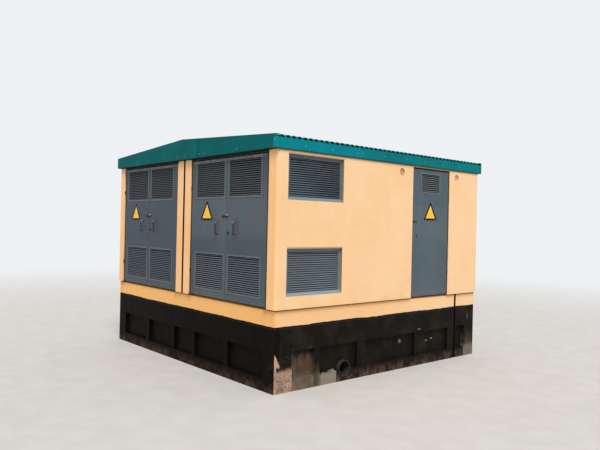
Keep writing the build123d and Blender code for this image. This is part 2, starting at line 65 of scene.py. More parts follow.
@dataclass(frozen=True)
class Signal:
    """A node's output that sums can be written on."""

    nodes: "Nodes"
    socket: Any

    def __add__(self, other: "Value") -> "Signal":
        """Sum of two values."""
        return self.nodes.maths("ADD", self, other)

    def __radd__(self, other: "Value") -> "Signal":
        """Sum with the value on the left."""
        return self.nodes.maths("ADD", other, self)

    def __sub__(self, other: "Value") -> "Signal":
        """This value less another."""
        return self.nodes.maths("SUBTRACT", self, other)

    def __rsub__(self, other: "Value") -> "Signal":
        """Another value less this one."""
        return self.nodes.maths("SUBTRACT", other, self)

    def __mul__(self, other: "Value") -> "Signal":
        """Product of two values."""
        return self.nodes.maths("MULTIPLY", self, other)

    def __rmul__(self, other: "Value") -> "Signal":
        """Product with the value on the left."""
        return self.nodes.maths("MULTIPLY", other, self)

    def __abs__(self) -> "Signal":
        """The value without its sign."""
        return self.nodes.maths("ABSOLUTE", self)

    def rise(self, low: float, high: float) -> "Signal":
        """A mask that turns smoothly from 0 at low to 1 at high."""
        return self.nodes.node("ShaderNodeMapRange", {"interpolation_type": "SMOOTHSTEP"}, {
            "Value": self, "From Min": low, "From Max": high})

    def fall(self, low: float, high: float) -> "Signal":
        """A mask that turns smoothly from 1 at low to 0 at high."""
        return 1.0 - self.rise(low, high)

    def within(self, low: float, high: float, soft: float) -> "Signal":
        """A mask that is 1 between two levels, with a soft edge outside them."""
        return self.rise(low - soft, low) * self.fall(high, high + soft)

    def near(self, level: float, inner: float, outer: float) -> "Signal":
        """A mask that is 1 up to the inner distance from a level and 0 past the outer one."""
        return abs(self - level).fall(inner, outer)

    def ends(self, low: float, high: float) -> "Signal":
        """Distance from the nearer end of a span."""
        return abs(abs(self - (low + high) / 2) - (high - low) / 2)


Value = Union[Signal, float, Sequence[float]]


class Nodes:
    """A node tree, filled through one method."""

    def __init__(self, tree: bpy.types.NodeTree) -> None:
        """Empties a tree and takes it."""
        self.tree = tree
        self.tree.nodes.clear()

    def node(self, kind: str, settings: dict[str, Any] | None = None,
             values: dict[Any, Any] | None = None, outlet: Any = 0) -> Signal:
        """Adds one node.

        Args:
            kind: The node's type.
            settings: Properties, set before its sockets.
            values: By socket name or number, a value, a link or a list of links.
            outlet: Name or number of the output to read.

        Returns:
            The chosen output.
        """
        made = self.tree.nodes.new(kind)
        for key, value in (settings or {}).items():
            setattr(made, key, value)
        for key, value in (values or {}).items():
            for part in value if isinstance(value, list) else [value]:
                if isinstance(part, Signal):
                    self.tree.links.new(part.socket, made.inputs[key])
                else:
                    made.inputs[key].default_value = part
        return Signal(self, made.outputs[outlet] if len(made.outputs) else None)

    def maths(self, operation: str, *terms: Value) -> Signal:
        """A Math node on one or two values."""
        return self.node("ShaderNodeMath", {"operation": operation}, dict(enumerate(terms)))

    def vectors(self, operation: str, *terms: Value, outlet: Any = 0) -> Signal:
        """A Vector Math node on one or two vectors."""
        return self.node("ShaderNodeVectorMath", {"operation": operation}, dict(enumerate(terms)), outlet)

    def greatest(self, first: Signal, *others: Value) -> Signal:
        """Joins masks.

        Args:
            first: A mask.
            others: More masks or levels.

        Returns:
            The greatest of them at each point.
        """
        for other in others:
            first = self.maths("MAXIMUM", first, other)
        return first


class Graph(Nodes):
    """The node tree of one finish."""

    def __init__(self, name: str) -> None:
        """Starts an empty material.

        Args:
            name: The material's name.
        """
        self.material = bpy.data.materials.new(name)
        self.material.use_nodes = True
        super().__init__(self.material.node_tree)
        self.place = self.node("ShaderNodeTexCoord", outlet="Object")
        self.x, self.y, self.z = (
            self.node("ShaderNodeSeparateXYZ", values={"Vector": self.place}, outlet=axis) for axis in "XYZ")

    def noise(self, scale: float, detail: float = 3.0, stretch: Point = (1.0, 1.0, 1.0),
              roughness: float = 0.5) -> Signal:
        """Soft noise over the piece.

        Args:
            scale: Features in a metre.
            detail: Octaves of finer noise.
            stretch: Factors on the three axes.
            roughness: Weight of the finer octaves.

        Returns:
            A value about 0.5.
        """
        spot = self.place if stretch == (1.0, 1.0, 1.0) else self.vectors("MULTIPLY", self.place, stretch)
        return self.node("ShaderNodeTexNoise", None, {
            "Vector": spot, "Scale": scale, "Detail": detail, "Roughness": roughness}, "Fac")

    def cells(self, scale: float) -> Signal:
        """Distance to the nearest of many scattered points, so many of them in a metre."""
        return self.node("ShaderNodeTexVoronoi", None, {"Vector": self.place, "Scale": scale}, "Distance")

    def away(self, centre: Point, factors: Point) -> Signal:
        """Distance from a point, with a factor on each axis."""
        off = self.vectors("MULTIPLY", self.vectors("SUBTRACT", self.place, centre), factors)
        return self.vectors("LENGTH", off, outlet="Value")

    def patch(self, centre: Point, size: Point, ragged: Signal, reach: float) -> Signal:
        """An oval patch with a ragged edge.

        Args:
            centre: Middle of the patch.
            size: Its three half lengths.
            ragged: Noise that breaks up the edge.
            reach: How far the noise moves the edge.

        Returns:
            A mask that is 1 in the patch.
        """
        length = self.away(centre, tuple(1.0 / s for s in size)) + (ragged - 0.5) * reach * 2.0
        return length.fall(0.7, 1.0)

    def blend(self, mask: Value, first: Value, second: Value) -> Signal:
        """A colour between two colours.

        Args:
            mask: 0 gives the first colour, 1 the second.
            first: A colour.
            second: A colour.

        Returns:
            The mixed colour.
        """
        first, second = (c if isinstance(c, Signal) else (*c, 1.0) for c in (first, second))
        return self.node("ShaderNodeMix", {"data_type": "RGBA"}, {0: mask, 6: first, 7: second}, 2)

    def coats(self, colour: Value, *coats: tuple[Value, Value]) -> Signal:
        """Lays coats over a first colour, one after another.

        Args:
            colour: The first colour.
            coats: Mask and colour of each coat.

        Returns:
            The colour that shows.
        """
        for mask, over in coats:
            colour = self.blend(mask, colour, over)
        return colour

    def bump(self, height: Signal, depth: float, under: Signal | None = None) -> Signal:
        """Relief from a height.

        Args:
            height: The relief's height as a value.
            depth: Metres for a height of 1.
            under: A relief that this one lies on.

        Returns:
            The normal.
        """
        values: dict[str, Value] = {"Height": height, "Distance": depth, "Strength": 1.0}
        if under is not None:
            values["Normal"] = under
        return self.node("ShaderNodeBump", None, values)

    def close(self, colour: Value, roughness: Value, normal: Signal, metallic: float = 0.0,
              coat: float = 0.0, specular: float = 0.5) -> bpy.types.Material:
        """Ends the tree in its surface shader.

        Args:
            colour: Base colour.
            roughness: Roughness.
            normal: Relief.
            metallic: Metal share.
            coat: Weight of the clear coat.
            specular: Strength of the plain reflection.

        Returns:
            The finished material.
        """
        shader = self.node("ShaderNodeBsdfPrincipled", None, {
            "Base Color": colour, "Roughness": roughness, "Metallic": metallic, "Coat Weight": coat,
            "Coat Roughness": 0.35, "Specular IOR Level": specular, "Normal": normal})
        self.node("ShaderNodeOutputMaterial", None, {"Surface": shader})
        return self.material


def from_doorway(g: Graph) -> Signal:
    """Distance across the front from the middle of the nearer doorway."""
    return abs(abs(g.x - DOORWAY_SHIFT) - DOORWAY_MIDDLE)


def scaled(colour: Colour, factor: float, lift: float = 0.0) -> Colour:
    """A colour times a factor, with a little white added."""
    return tuple(c * factor + lift for c in colour)


# Finishes

@dataclass(frozen=True)
class FacadePaint:
    """Matt apricot paint on the skim coat of the concrete shells, whitewash inside the rooms."""

    colour: Colour = (0.865, 0.545, 0.280)
    washed: Colour = (0.900, 0.600, 0.345)
    # A second copy of the paint for the front face, tuned to how light falls there: painted light
    front: Colour = (0.945, 0.530, 0.235)
    front_washed: Colour = (0.955, 0.570, 0.285)
    worn: Colour = (0.78, 0.45, 0.20)
    speck: Colour = (0.55, 0.33, 0.16)
    # Painted shade under the cladding and in the reveals, and dark lines round the pockets and over the
    # louvres
    painted_shade_and_dark_lines: Colour = (0.030, 0.022, 0.017)
    shaded: Colour = (0.0060, 0.0065, 0.0075)
    joint: Colour = (0.006, 0.005, 0.004)
    inside: Colour = (0.62, 0.60, 0.55)
    pockets: tuple[Point, ...] = ((0.0, 0.195, 3.11), (0.0, 1.64, 3.11))
    pocket_radius: float = 0.056
    over_louvres: tuple[Span, ...] = ((1.919, 1.935), (3.183, 3.194))
    edge: Span = (0.0005, 0.0015)
    outer: Span = (2.38, 2.39)
    rooms: tuple[Span, Span] = ((0.09, 2.31), (-2.16, 2.21))

    def build(self) -> bpy.types.Material:
        """Makes the material.

        Returns:
            The material.
        """
        g = Graph("facade_paint")
        blot = g.noise(3.3, 5.0, roughness=0.62)
        mottle = (g.noise(0.8, 4.0) * 0.55 + blot * 0.45).rise(0.38, 0.66)
        under = g.greatest(g.z.within(2.42, 2.565, 0.10), g.z.within(1.13, 1.275, 0.02))
        runs = g.noise(6.0, 4.0, (1.0, 1.0, 0.12)).rise(0.50, 0.74) * under * g.y.within(-2.1, -1.1, 0.05)
        foot = g.z.fall(1.12, 1.22) * blot.rise(0.35, 0.7)
        marks = g.cells(1.7).fall(0.018, 0.03) * blot.rise(0.45, 0.55)
        # Painted shade along the top of the long walls, under the eave cladding
        head = g.z.rise(3.205, 3.228) * abs(g.x).rise(*self.outer)
        gable = self.under_gable(g)
        # Painted shade under the eave and gable cladding and in the reveals of doors and louvres, with dark
        # lines over the louvres and round the pockets
        dark = g.greatest(head * 0.75, gable, self.reveals(g), self.pocket_edges(g, blot))
        room = abs(g.x).within(*self.rooms[0], 0.001) * g.y.within(*self.rooms[1], 0.001)
        colour = g.coats(
            g.blend(mottle, self.washed, self.colour),
            (g.y.fall(-2.29, -2.27), g.blend(mottle, self.front_washed, self.front)),
            (g.greatest(runs * 0.25, foot * 0.30), self.worn),
            (marks * 0.35, self.speck),
            (dark, self.painted_shade_and_dark_lines),
            (gable * 0.8, self.shaded),
            (room, self.inside),
            (abs(g.x).fall(0.0245, 0.0265), self.joint))
        trowel = g.bump(g.noise(2.4, 3.0), 0.005)
        grain = g.bump(g.noise(210.0, 3.0, roughness=0.7), 0.0011, trowel)
        return g.close(colour, 0.78 + blot * 0.16, grain, specular=0.2)

    def under_gable(self, g: Graph) -> Signal:
        """Painted deep shade on the front lintels under the cladding, and a thin line of it on the pillars.

        Args:
            g: The finish's nodes.

        Returns:
            A mask that is 1 on the painted shade.
        """
        doorway = from_doorway(g).fall(1.001, 1.004)
        lintel = g.greatest(doorway * g.z.rise(3.195, 3.203), g.z.rise(3.221, 3.228) * 0.8)
        return lintel * abs(g.y).rise(2.294, 2.297)

    def reveals(self, g: Graph) -> Signal:
        """Painted shade in the narrow gaps round both kinds of door, and round the louvres of the long walls.

        Args:
            g: The finish's nodes.

        Returns:
            A mask that is 1 on the painted shade.
        """
        front, side = g.y.within(-2.290, -2.14, 0.004), abs(g.x).within(2.305, 2.390, 0.004)
        doors = g.greatest(
            abs(from_doorway(g) - DOORWAY_HALF).fall(*self.edge) * front,
            g.y.ends(*SIDE_DOORWAY).fall(*self.edge) * side,
            g.z.near(DOORWAY_HEAD, *self.edge) * g.greatest(front, side))
        return g.greatest(doors * 0.9, self.louvre_reveals(g) * 0.62)

    def louvre_reveals(self, g: Graph) -> Signal:
        """Painted shade in the masonry reveals round the sunk louvres of the long walls, most at the head,
        and a dark line on the wall just over each louvre.

        Args:
            g: The finish's nodes.

        Returns:
            A mask that is 1 on the painted shade and the lines.
        """
        start, end = WALL_LOUVRES
        level = g.greatest(*(g.z.within(low, high, 0.001) for low, high in WALL_LOUVRE_LEVELS))
        head = g.greatest(*(g.z.near(high, *self.edge) for _, high in WALL_LOUVRE_LEVELS))
        lined = g.greatest(
            g.y.ends(start, end).fall(*self.edge) * level, head * g.y.within(start, end, 0.001))
        over = g.greatest(*(g.z.within(*span, 0.005) for span in self.over_louvres))
        over = over * g.y.within(start, end + 0.005, 0.006)
        return g.greatest(
            lined * abs(g.x).within(2.300, 2.397, 0.001), over * abs(g.x).rise(2.398, 2.399) * 0.80)

    def pocket_edges(self, g: Graph, blot: Signal) -> Signal:
        """Dark broken line round the mouth of each lifting pocket.

        Args:
            g: The finish's nodes.
            blot: Noise that breaks up the line.

        Returns:
            A mask that is 1 on the line.
        """
        low, high = self.pocket_radius - 0.003, self.pocket_radius + 0.002
        lines = (g.away(pocket, (0.0, 1.0, 1.0)).within(low, high, 0.002) for pocket in self.pockets)
        return g.greatest(*lines) * abs(g.x).rise(*self.outer) * (0.22 + blot.rise(0.40, 0.60) * 0.45)


@dataclass(frozen=True)
class BaseCoat:
    """Cast base: apricot band at the top, thick black coat under it, bare concrete where the coat ends."""

    band: Colour = (0.860, 0.530, 0.265)
    band_far: Colour = (0.90, 0.62, 0.37)
    band_front_lit: Colour = (0.915, 0.498, 0.184)
    band_blots: Colour = (0.70, 0.38, 0.15)
    band_warm_shadow_fringe: Colour = (0.92, 0.42, 0.10)
    band_overhang_shadow: Colour = (0.155, 0.055, 0.008)
    band_runs: Colour = (0.52, 0.29, 0.11)
    black: Colour = (0.0085, 0.0072, 0.0056)
    browned: Colour = (0.020, 0.0155, 0.0110)
    streaked: Colour = (0.045, 0.036, 0.028)
    front_black_shaded: Colour = (0.0040, 0.0026, 0.0018)
    lip: Colour = (0.003, 0.0012, 0.0008)
    glint: Colour = (0.060, 0.050, 0.050)
    bare: Colour = (0.075, 0.054, 0.037)
    reddish: Colour = (0.110, 0.056, 0.034)
    wet: Colour = (0.026, 0.018, 0.012)
    grit: tuple[Colour, Colour] = ((0.16, 0.105, 0.075), (0.58, 0.38, 0.27))
    speck: Colour = (0.20, 0.21, 0.24)
    dusty: Colour = (0.52, 0.34, 0.17)
    pale: Colour = (0.27, 0.235, 0.185)
    dust: Colour = (0.36, 0.22, 0.13)
    joint: Colour = (0.006, 0.005, 0.004)
    inside: Colour = (0.34, 0.32, 0.29)
    line: float = 0.885
    joint_at: float = 1.708
    east: Span = (2.20, 2.25)
    panel: Span = (-1.97, -1.563)
    rib: Span = (-1.563, -1.44)
    ledge: Span = (-1.43, -1.14)
    end: Span = (2.0, 2.4)
    spots: tuple[tuple[Point, Point, float], ...] = (
        ((2.32, 0.31, 0.43), (0.03, 0.038, 0.036), 0.6),
        ((2.32, 0.99, 0.371), (0.02, 0.038, 0.015), 0.8),
        ((2.32, 1.126, 0.39), (0.02, 0.036, 0.017), 0.8),
        ((2.37, 0.74, 0.585), (0.02, 0.042, 0.012), 0.8),
        ((2.37, 2.09, 0.69), (0.03, 0.040, 0.070), 0.14))

    def build(self) -> bpy.types.Material:
        """Makes the material.

        Returns:
            The material.
        """
        g = Graph("base_coat")
        rough = g.noise(7.0, 5.0, roughness=0.6)
        fine = g.noise(46.0, 4.0, roughness=0.65)
        drips = g.noise(9.0, 4.0, (1.0, 1.0, 0.14))
        edge = self.line + (g.noise(1.6, 2.0) - 0.5) * 0.034 + (g.noise(11.0, 3.0) - 0.5) * 0.014
        painted, below = (g.z - edge).rise(-0.002, 0.003), edge - g.z
        concrete = self.concrete(g, rough)
        bare, corner = self.bare_places(g, drips), self.corner(g, rough, fine)
        chips = g.cells(11.0).fall(0.05, 0.085) * g.noise(2.1, 2.0).rise(0.56, 0.62) * g.z.fall(0.62, 0.80)
        grit = g.blend((fine * 0.6 + rough * 0.4).rise(0.36, 0.62), *self.grit)
        speckled = g.greatest(g.y.fall(-1.97, -1.95), g.y.within(*self.rib, 0.004) * g.z.fall(0.40, 0.50))
        specks = g.cells(48.0).fall(0.14, 0.24) * rough.rise(0.50, 0.62) * speckled
        spots = g.greatest(*(g.patch(at, size, fine, 0.9) * share for at, size, share in self.spots))
        dust = g.z.fall(0.01, 0.17) * rough.rise(0.35, 0.75)
        inner = abs(g.x).fall(2.214, 2.216) * abs(g.y).fall(2.114, 2.116)
        colour = g.coats(
            self.black,
            (g.noise(3.0, 4.0).rise(0.42, 0.68) * 0.75, self.browned),
            (drips.rise(0.60, 0.78) * 0.20, self.streaked),
            # A darker copy of the black coat on the front face: painted shade
            (g.y.fall(-2.19, -2.18) * 0.85, self.front_black_shaded),
            (chips * 0.5, concrete),
            (bare, concrete),
            (corner, g.blend(g.z.rise(0.32, 0.46) * 0.8, grit, self.dusty)),
            (specks * g.x.rise(*self.east) * (1.0 - corner) * 0.55, self.speck),
            (spots * 0.85, self.pale),
            (dust * (0.38 - g.y.fall(-2.20, -2.18) * 0.16), self.dust),
            (below.within(0.0, 0.016, 0.003) * 0.8, self.lip),
            (below.within(0.022, 0.028, 0.004) * 0.35, self.glint),
            (painted, self.painted_band(g, drips)),
            (g.y.near(self.joint_at, 0.0245, 0.0275), self.joint),
            (inner, self.inside))
        relief = g.bump(rough * 0.8 + fine * 0.4, 0.007, g.bump(drips, 0.006))
        matt = g.blend(g.greatest(painted, bare), (0.55, 0.55, 0.55), (0.88, 0.88, 0.88))
        return g.close(colour, matt, relief, specular=0.045)

    def painted_band(self, g: Graph, drips: Signal) -> Signal:
        """The band's paint: deeper on the front, with a brighter front copy as painted light, and a painted
        shadow of the shell's overhang along its top.

        Args:
            g: The finish's nodes.
            drips: Upright streaks.

        Returns:
            The band's colour.
        """
        front = g.y.fall(-2.262, -2.25)
        sheltered = 1.0 - front * 0.8
        return g.coats(
            self.band,
            (g.y.rise(-0.8, 1.4) * 0.6, self.band_far),
            # A brighter copy of the band's paint on the front face: painted light
            (front, self.band_front_lit),
            (g.noise(2.6, 4.0).rise(0.45, 0.75) * sheltered * 0.16, self.band_blots),
            # Painted shadow of the shell's overhang along the band's top, with a warm fringe below it
            (g.z.rise(1.010, 1.090) * 0.25, self.band_warm_shadow_fringe),
            (g.z.rise(1.080, 1.098) * 0.90, self.band_overhang_shadow),
            (drips.rise(0.62, 0.8) * sheltered * 0.22, self.band_runs))

    def concrete(self, g: Graph, rough: Signal) -> Signal:
        """Bare concrete, streaked, and pale at its foot.

        Args:
            g: The finish's nodes.
            rough: Noise of its surface.

        Returns:
            The concrete's colour.
        """
        foot = (g.z + (rough - 0.5) * 0.12).fall(0.15, 0.24) * g.greatest(g.y.rise(-1.50, -1.46), 0.35)
        return g.coats(
            self.bare,
            (rough.rise(0.42, 0.78), scaled(self.pale, 0.62)),
            (g.y.rise(-1.80, -1.74) * g.y.fall(-1.50, -1.46) * 0.6, self.reddish),
            (g.noise(13.0, 3.0, (1.0, 1.0, 0.10)).rise(0.45, 0.66) * 0.70, self.wet),
            (foot * 0.8, self.pale))

    def bare_places(self, g: Graph, drips: Signal) -> Signal:
        """Where the coat stops short of the foot on the long east side and the end block.

        Args:
            g: The finish's nodes.
            drips: Upright streaks that break up the edge.

        Returns:
            A mask that is 1 on bare concrete.
        """
        ragged = (drips - 0.5) * 0.40
        panel = (g.z + ragged).fall(0.36, 0.56) * g.y.within(*self.panel, 0.004)
        rib = (g.z + ragged).fall(0.10, 0.34) * g.y.within(*self.rib, 0.004)
        ledge = (g.z + ragged * 0.25 - g.y * 0.08).fall(0.262, 0.282) * g.y.within(*self.ledge, 0.015)
        end = (g.z + ragged).fall(0.26, 0.46) * g.y.within(*self.end, 0.03)
        return g.greatest(panel * 0.9, rib * 0.5, ledge, end * 0.65) * g.x.rise(*self.east)

    def corner(self, g: Graph, rough: Signal, fine: Signal) -> Signal:
        """Bare gritty concrete on the east face at the front corner: a narrow tongue over a broad foot.

        Args:
            g: The finish's nodes.
            rough: Noise that breaks up the edges.
            fine: Finer noise for the same.

        Returns:
            A mask that is 1 on the bare place.
        """
        ragged = (rough - 0.5) * 0.26 + (fine - 0.5) * 0.22
        slant = g.z + (g.y + 2.27) * 1.75
        tongue = (slant + ragged * 0.5).fall(0.515, 0.555) * (g.z + ragged * 0.4).rise(0.335, 0.385)
        strip = (g.y + ragged * 0.12).fall(-2.238, -2.222) * g.z.fall(0.40, 0.43)
        foot = (g.z + ragged * 0.65).fall(0.26, 0.34) * 0.9
        broad = g.y.rise(-2.2695, -2.268)
        return g.greatest(tongue, strip, foot) * broad * g.y.fall(-1.966, -1.960) * g.x.rise(*self.east)


class SheetSide(Enum):
    """Which cladding a coated sheet belongs to, with its colour: one teal, darker on the gables as painted
    shade and lighter on the eaves as painted reflection.
    """

    # The gable teal is darker as painted shade, the eave teal lighter as painted reflection
    GABLE = (0.0008, 0.122, 0.126)
    EAVE = (0.0010, 0.182, 0.205)
    ROOF = (0.0020, 0.165, 0.165)


@dataclass(frozen=True)
class CoatedSheet:
    """Teal coated steel sheet, slightly buckled, chalked by weather."""

    side: SheetSide
    near_factors: Colour = (0.6, 1.27, 1.36)
    lap_at: float = 0.489
    gable_edge: float = 2.297
    eave_edge: float = 2.362

    def build(self) -> bpy.types.Material:
        """Makes the material.

        Returns:
            The material.
        """
        g = Graph("coated_sheet_" + self.side.name.lower())
        base = self.side.value
        deep = scaled(base, 0.82)
        fine = g.noise(24.0, 4.0, roughness=0.65)
        runs = g.noise(15.0, 3.0, (1.0, 1.0, 0.10)).rise(0.6, 0.8) * g.z.fall(3.28, 3.45)
        flecks = g.cells(19.0).fall(0.04, 0.055) * fine.rise(0.52, 0.6)
        colour = g.coats(
            deep,
            (g.noise(1.9, 4.0).rise(0.35, 0.7), base),
            (fine.rise(0.50, 0.78) * 0.35, scaled(base, 1.12, 0.006)),
            (runs * 0.35, deep),
            (flecks * 0.25, scaled(base, 1.0, 0.12)))
        if self.side is SheetSide.EAVE:
            near = g.blend(g.y.fall(-0.90, -0.50), (1.0, 1.0, 1.0), self.near_factors)
            colour = g.vectors("MULTIPLY", colour, near)
        if self.side is SheetSide.GABLE:
            # Painted shadow along the lap of the two front gable sheets
            lap_shadow = g.y.fall(-2.3560, -2.3555) * g.x.near(self.lap_at, 0.034, 0.036)
            colour = g.blend(lap_shadow * 0.45, colour, scaled(base, 0.40))
        # Painted shade along the fascias' lower edge and beside the corner trims
        trims = g.greatest(
            abs(g.y).near(self.gable_edge, 0.003, 0.006), abs(g.x).near(self.eave_edge, 0.003, 0.006))
        edge_shade = g.greatest(g.z.fall(3.236, 3.246), trims * 0.6 * g.z.fall(3.37, 3.38))
        colour = g.blend(edge_shade * 0.80, colour, scaled(base, 0.22))
        buckle = g.bump(g.noise(2.2, 2.0, (1.0, 1.0, 2.2)), 0.010)
        skin = g.bump(g.noise(420.0, 2.0), 0.00025, buckle)
        return g.close(colour, 0.46 + fine * 0.22, skin, specular=0.06)


@dataclass(frozen=True)
class Grain:
    """Noises that all marks on one enamel share."""

    cloud: Signal
    fine: Signal
    runs: Signal


@dataclass(frozen=True)
class DoorEnamel:
    """Blue-grey enamel on the steel doors, frames and louvres, with nicks and a dusty foot."""

    name: str = "door_enamel"
    colour: Colour = (0.078, 0.104, 0.122)
    lighter: Colour = (0.112, 0.140, 0.158)
    darker: Colour = (0.052, 0.073, 0.092)
    nick: Colour = (0.28, 0.22, 0.19)
    dust: Colour = (0.20, 0.155, 0.12)
    specular: float = 0.25

    def build(self) -> bpy.types.Material:
        """Makes the material.

        Returns:
            The material.
        """
        g = Graph(self.name)
        grain = Grain(g.noise(1.4, 4.0), g.noise(30.0, 4.0, roughness=0.65),
                      g.noise(7.0, 4.0, (1.0, 1.0, 0.08)))
        plain = g.coats(
            self.colour,
            (grain.cloud.rise(0.35, 0.68), self.darker),
            (grain.runs.rise(0.52, 0.75) * 0.28, self.lighter),
            (grain.fine.rise(0.55, 0.80) * 0.22, self.lighter))
        nicks = g.cells(13.0).fall(0.035, 0.05) * g.noise(3.0, 2.0).rise(0.54, 0.60)
        colour = g.blend(nicks * 0.4, self.worked(g, grain, plain), self.nick)
        dent = g.bump(g.noise(2.6, 3.0, (1.0, 1.0, 0.7)), 0.010)
        skin = g.bump(g.noise(300.0, 2.0), 0.00035, dent)
        return g.close(colour, 0.42 + grain.fine * 0.24, skin, specular=self.specular)

    def worked(self, g: Graph, grain: Grain, colour: Signal) -> Signal:
        """Dust at the foot of the doors."""
        return g.blend(g.z.fall(1.13, 1.32) * grain.fine.rise(0.3, 0.7) * 0.3, colour, self.dust)


@dataclass(frozen=True)
class LeafEnamel(DoorEnamel):
    """Enamel of the leaves: rubbed beside the pulls, pale at the louvre bars, with painted shade at the leaf
    edges and between the blades.
    """

    name: str = "leaf_enamel"
    pulls: tuple[Span, ...] = ((1, 0.95), (1, 1.46), (-1, 0.93), (-1, 1.45))
    pull_height: float = 2.165
    bar: Colour = (0.128, 0.150, 0.162)
    # Colour of the painted shade at the leaf edges and between the blades
    deep: Colour = (0.013, 0.011, 0.010)
    rubbed: Colour = (0.080, 0.050, 0.052)
    warm: Colour = (0.118, 0.092, 0.092)
    side_door: Colour = (0.092, 0.128, 0.152)
    stile: Colour = (0.066, 0.068, 0.060)
    blade: Colour = (0.135, 0.155, 0.170)
    grimed: Colour = (0.082, 0.080, 0.080)
    scuffed: Colour = (0.27, 0.20, 0.20)

    def worked(self, g: Graph, grain: Grain, colour: Signal) -> Signal:
        """Tone of each leaf, then the marks of hands and weather.

        Args:
            g: The finish's nodes.
            grain: Its noises.
            colour: The plain enamel.

        Returns:
            The colour with its marks.
        """
        side = abs(g.x).rise(2.30, 2.31)
        front = 1.0 - side
        west = g.x.fall(-0.1, 0.1) * front
        middle = g.z.within(1.82, 2.58, 0.02) * (g.z + (grain.cloud - 0.5) * 0.4).rise(1.95, 2.15)
        stile = g.x.within(0.20, 0.375, 0.012) * (g.z + (grain.cloud - 0.5) * 0.5).rise(2.45, 2.75)
        sunk = g.y.within(-2.2880, -2.26, 0.001)
        blades = g.greatest(sunk * g.z.fall(1.80, 1.82), side * abs(g.x).fall(2.387, 2.389))
        grimed = sunk * g.z.rise(2.62, 2.64) * g.z.fall(3.14, 3.16)
        colour = g.coats(
            colour,
            (middle * 0.40, self.lighter),
            ((1.0 - middle) * g.z.fall(2.6, 2.7) * front * 0.22, self.darker),
            (west * 0.90, self.darker),
            (g.x.rise(1.209, 1.211) * front * 0.22, self.darker),
            (side * 0.45, self.side_door),
            (stile * 0.45, self.stile),
            (blades * (0.55 - west * 0.17), self.blade),
            (grimed * 0.5, self.grimed))
        colour = super().worked(g, grain, colour)
        return self.rubs(g, grain, colour, side, front)

    def rubs(self, g: Graph, grain: Grain, colour: Signal, side: Signal, front: Signal) -> Signal:
        """Pale bars and rails, scuffs, stains beside the pulls, and painted shade at the leaf edges and
        between the blades.

        Args:
            g: The finish's nodes.
            grain: Its noises.
            colour: The toned enamel.
            side: 1 on the side doors.
            front: 1 on the front doors.

        Returns:
            The colour with its marks.
        """
        aside = from_doorway(g)
        rail = g.z.within(3.148, 3.187, 0.002) * aside.fall(0.920, 0.924) * g.y.fall(-2.2890, -2.2885)
        bars = g.greatest(g.y.fall(-2.2925, -2.2915), abs(g.x).rise(2.3915, 2.3925), rail)
        scuffs = g.greatest(g.z.rise(3.140, 3.150), g.z.within(2.595, 2.632, 0.003) * 0.6)
        scuffs = scuffs * bars * g.noise(8.0, 5.0, roughness=0.7).rise(0.48, 0.58)
        stains = g.greatest(*(
            g.patch((end * x, LEAF_FACE, self.pull_height), (0.085, 0.05, 0.19), grain.runs, 0.5)
            for end, x in self.pulls))
        worn = stains * grain.fine.rise(0.30, 0.62) * g.y.fall(-2.2885, -2.2875)
        warm = g.patch((1.90, LEAF_FACE, 2.27), (0.19, 0.05, 0.16), grain.cloud, 0.5)
        # Painted shade along the leaves' outer edges at the jambs and along their tops
        leaf_edge_shade = g.greatest(aside.rise(0.9620, 0.9645), g.z.rise(3.1865, 3.1880)) * front
        side_leaf_edge_shade = g.greatest(abs(g.y - 0.952).rise(0.4610, 0.4630), g.z.rise(3.180, 3.183)) * side
        return g.coats(
            colour,
            (bars * 0.75, self.bar),
            (scuffs * 0.65, self.scuffed),
            (worn * 0.52, self.rubbed),
            (warm * grain.fine.rise(0.25, 0.65) * 0.42, self.warm),
            (g.greatest(leaf_edge_shade * 0.9, side_leaf_edge_shade * 0.75), self.deep),
            (self.between_blades(g), self.deep))

    def between_blades(self, g: Graph) -> Signal:
        """Painted shade where the louvres are deeper than their blades' lips, as far as the eye reaches from
        outside.

        Args:
            g: The finish's nodes.

        Returns:
            A mask that is 1 on the painted shade between the blades.
        """
        across = abs(from_doorway(g) - 0.4445).fall(0.3820, 0.3835)
        level = g.greatest(g.z.near(1.51, 0.262, 0.264), g.z.near(2.8875, 0.260, 0.262))
        front = across * level * g.y.rise(-2.2835, -2.274) * g.y.fall(-2.266, -2.262)
        side = g.y.near(0.9315, 0.234, 0.2355) * g.z.near(2.9695, 0.147, 0.1485)
        return g.greatest(front, side * abs(g.x).fall(2.374, 2.3835) * abs(g.x).rise(2.362, 2.366))


@dataclass(frozen=True)
class FrameEnamel(DoorEnamel):
    """Enamel of the door frames, near-black as painted shade in the gaps round the leaves, with their hinge
    halves in the leaves' blue-grey.
    """

    name: str = "frame_enamel"
    # Near-black, as painted shade in the gaps round the leaves
    colour: Colour = (0.030, 0.031, 0.031)
    lighter: Colour = (0.045, 0.046, 0.046)
    darker: Colour = (0.020, 0.019, 0.018)
    specular: float = 0.12
    hinge: Colour = (0.085, 0.108, 0.124)

    def worked(self, g: Graph, grain: Grain, colour: Signal) -> Signal:
        """Dust at the foot, then the hinge halves."""
        hinges = g.greatest(g.y.fall(-2.288, -2.286), abs(g.x).rise(2.386, 2.388))
        return g.blend(hinges, super().worked(g, grain, colour), self.hinge)


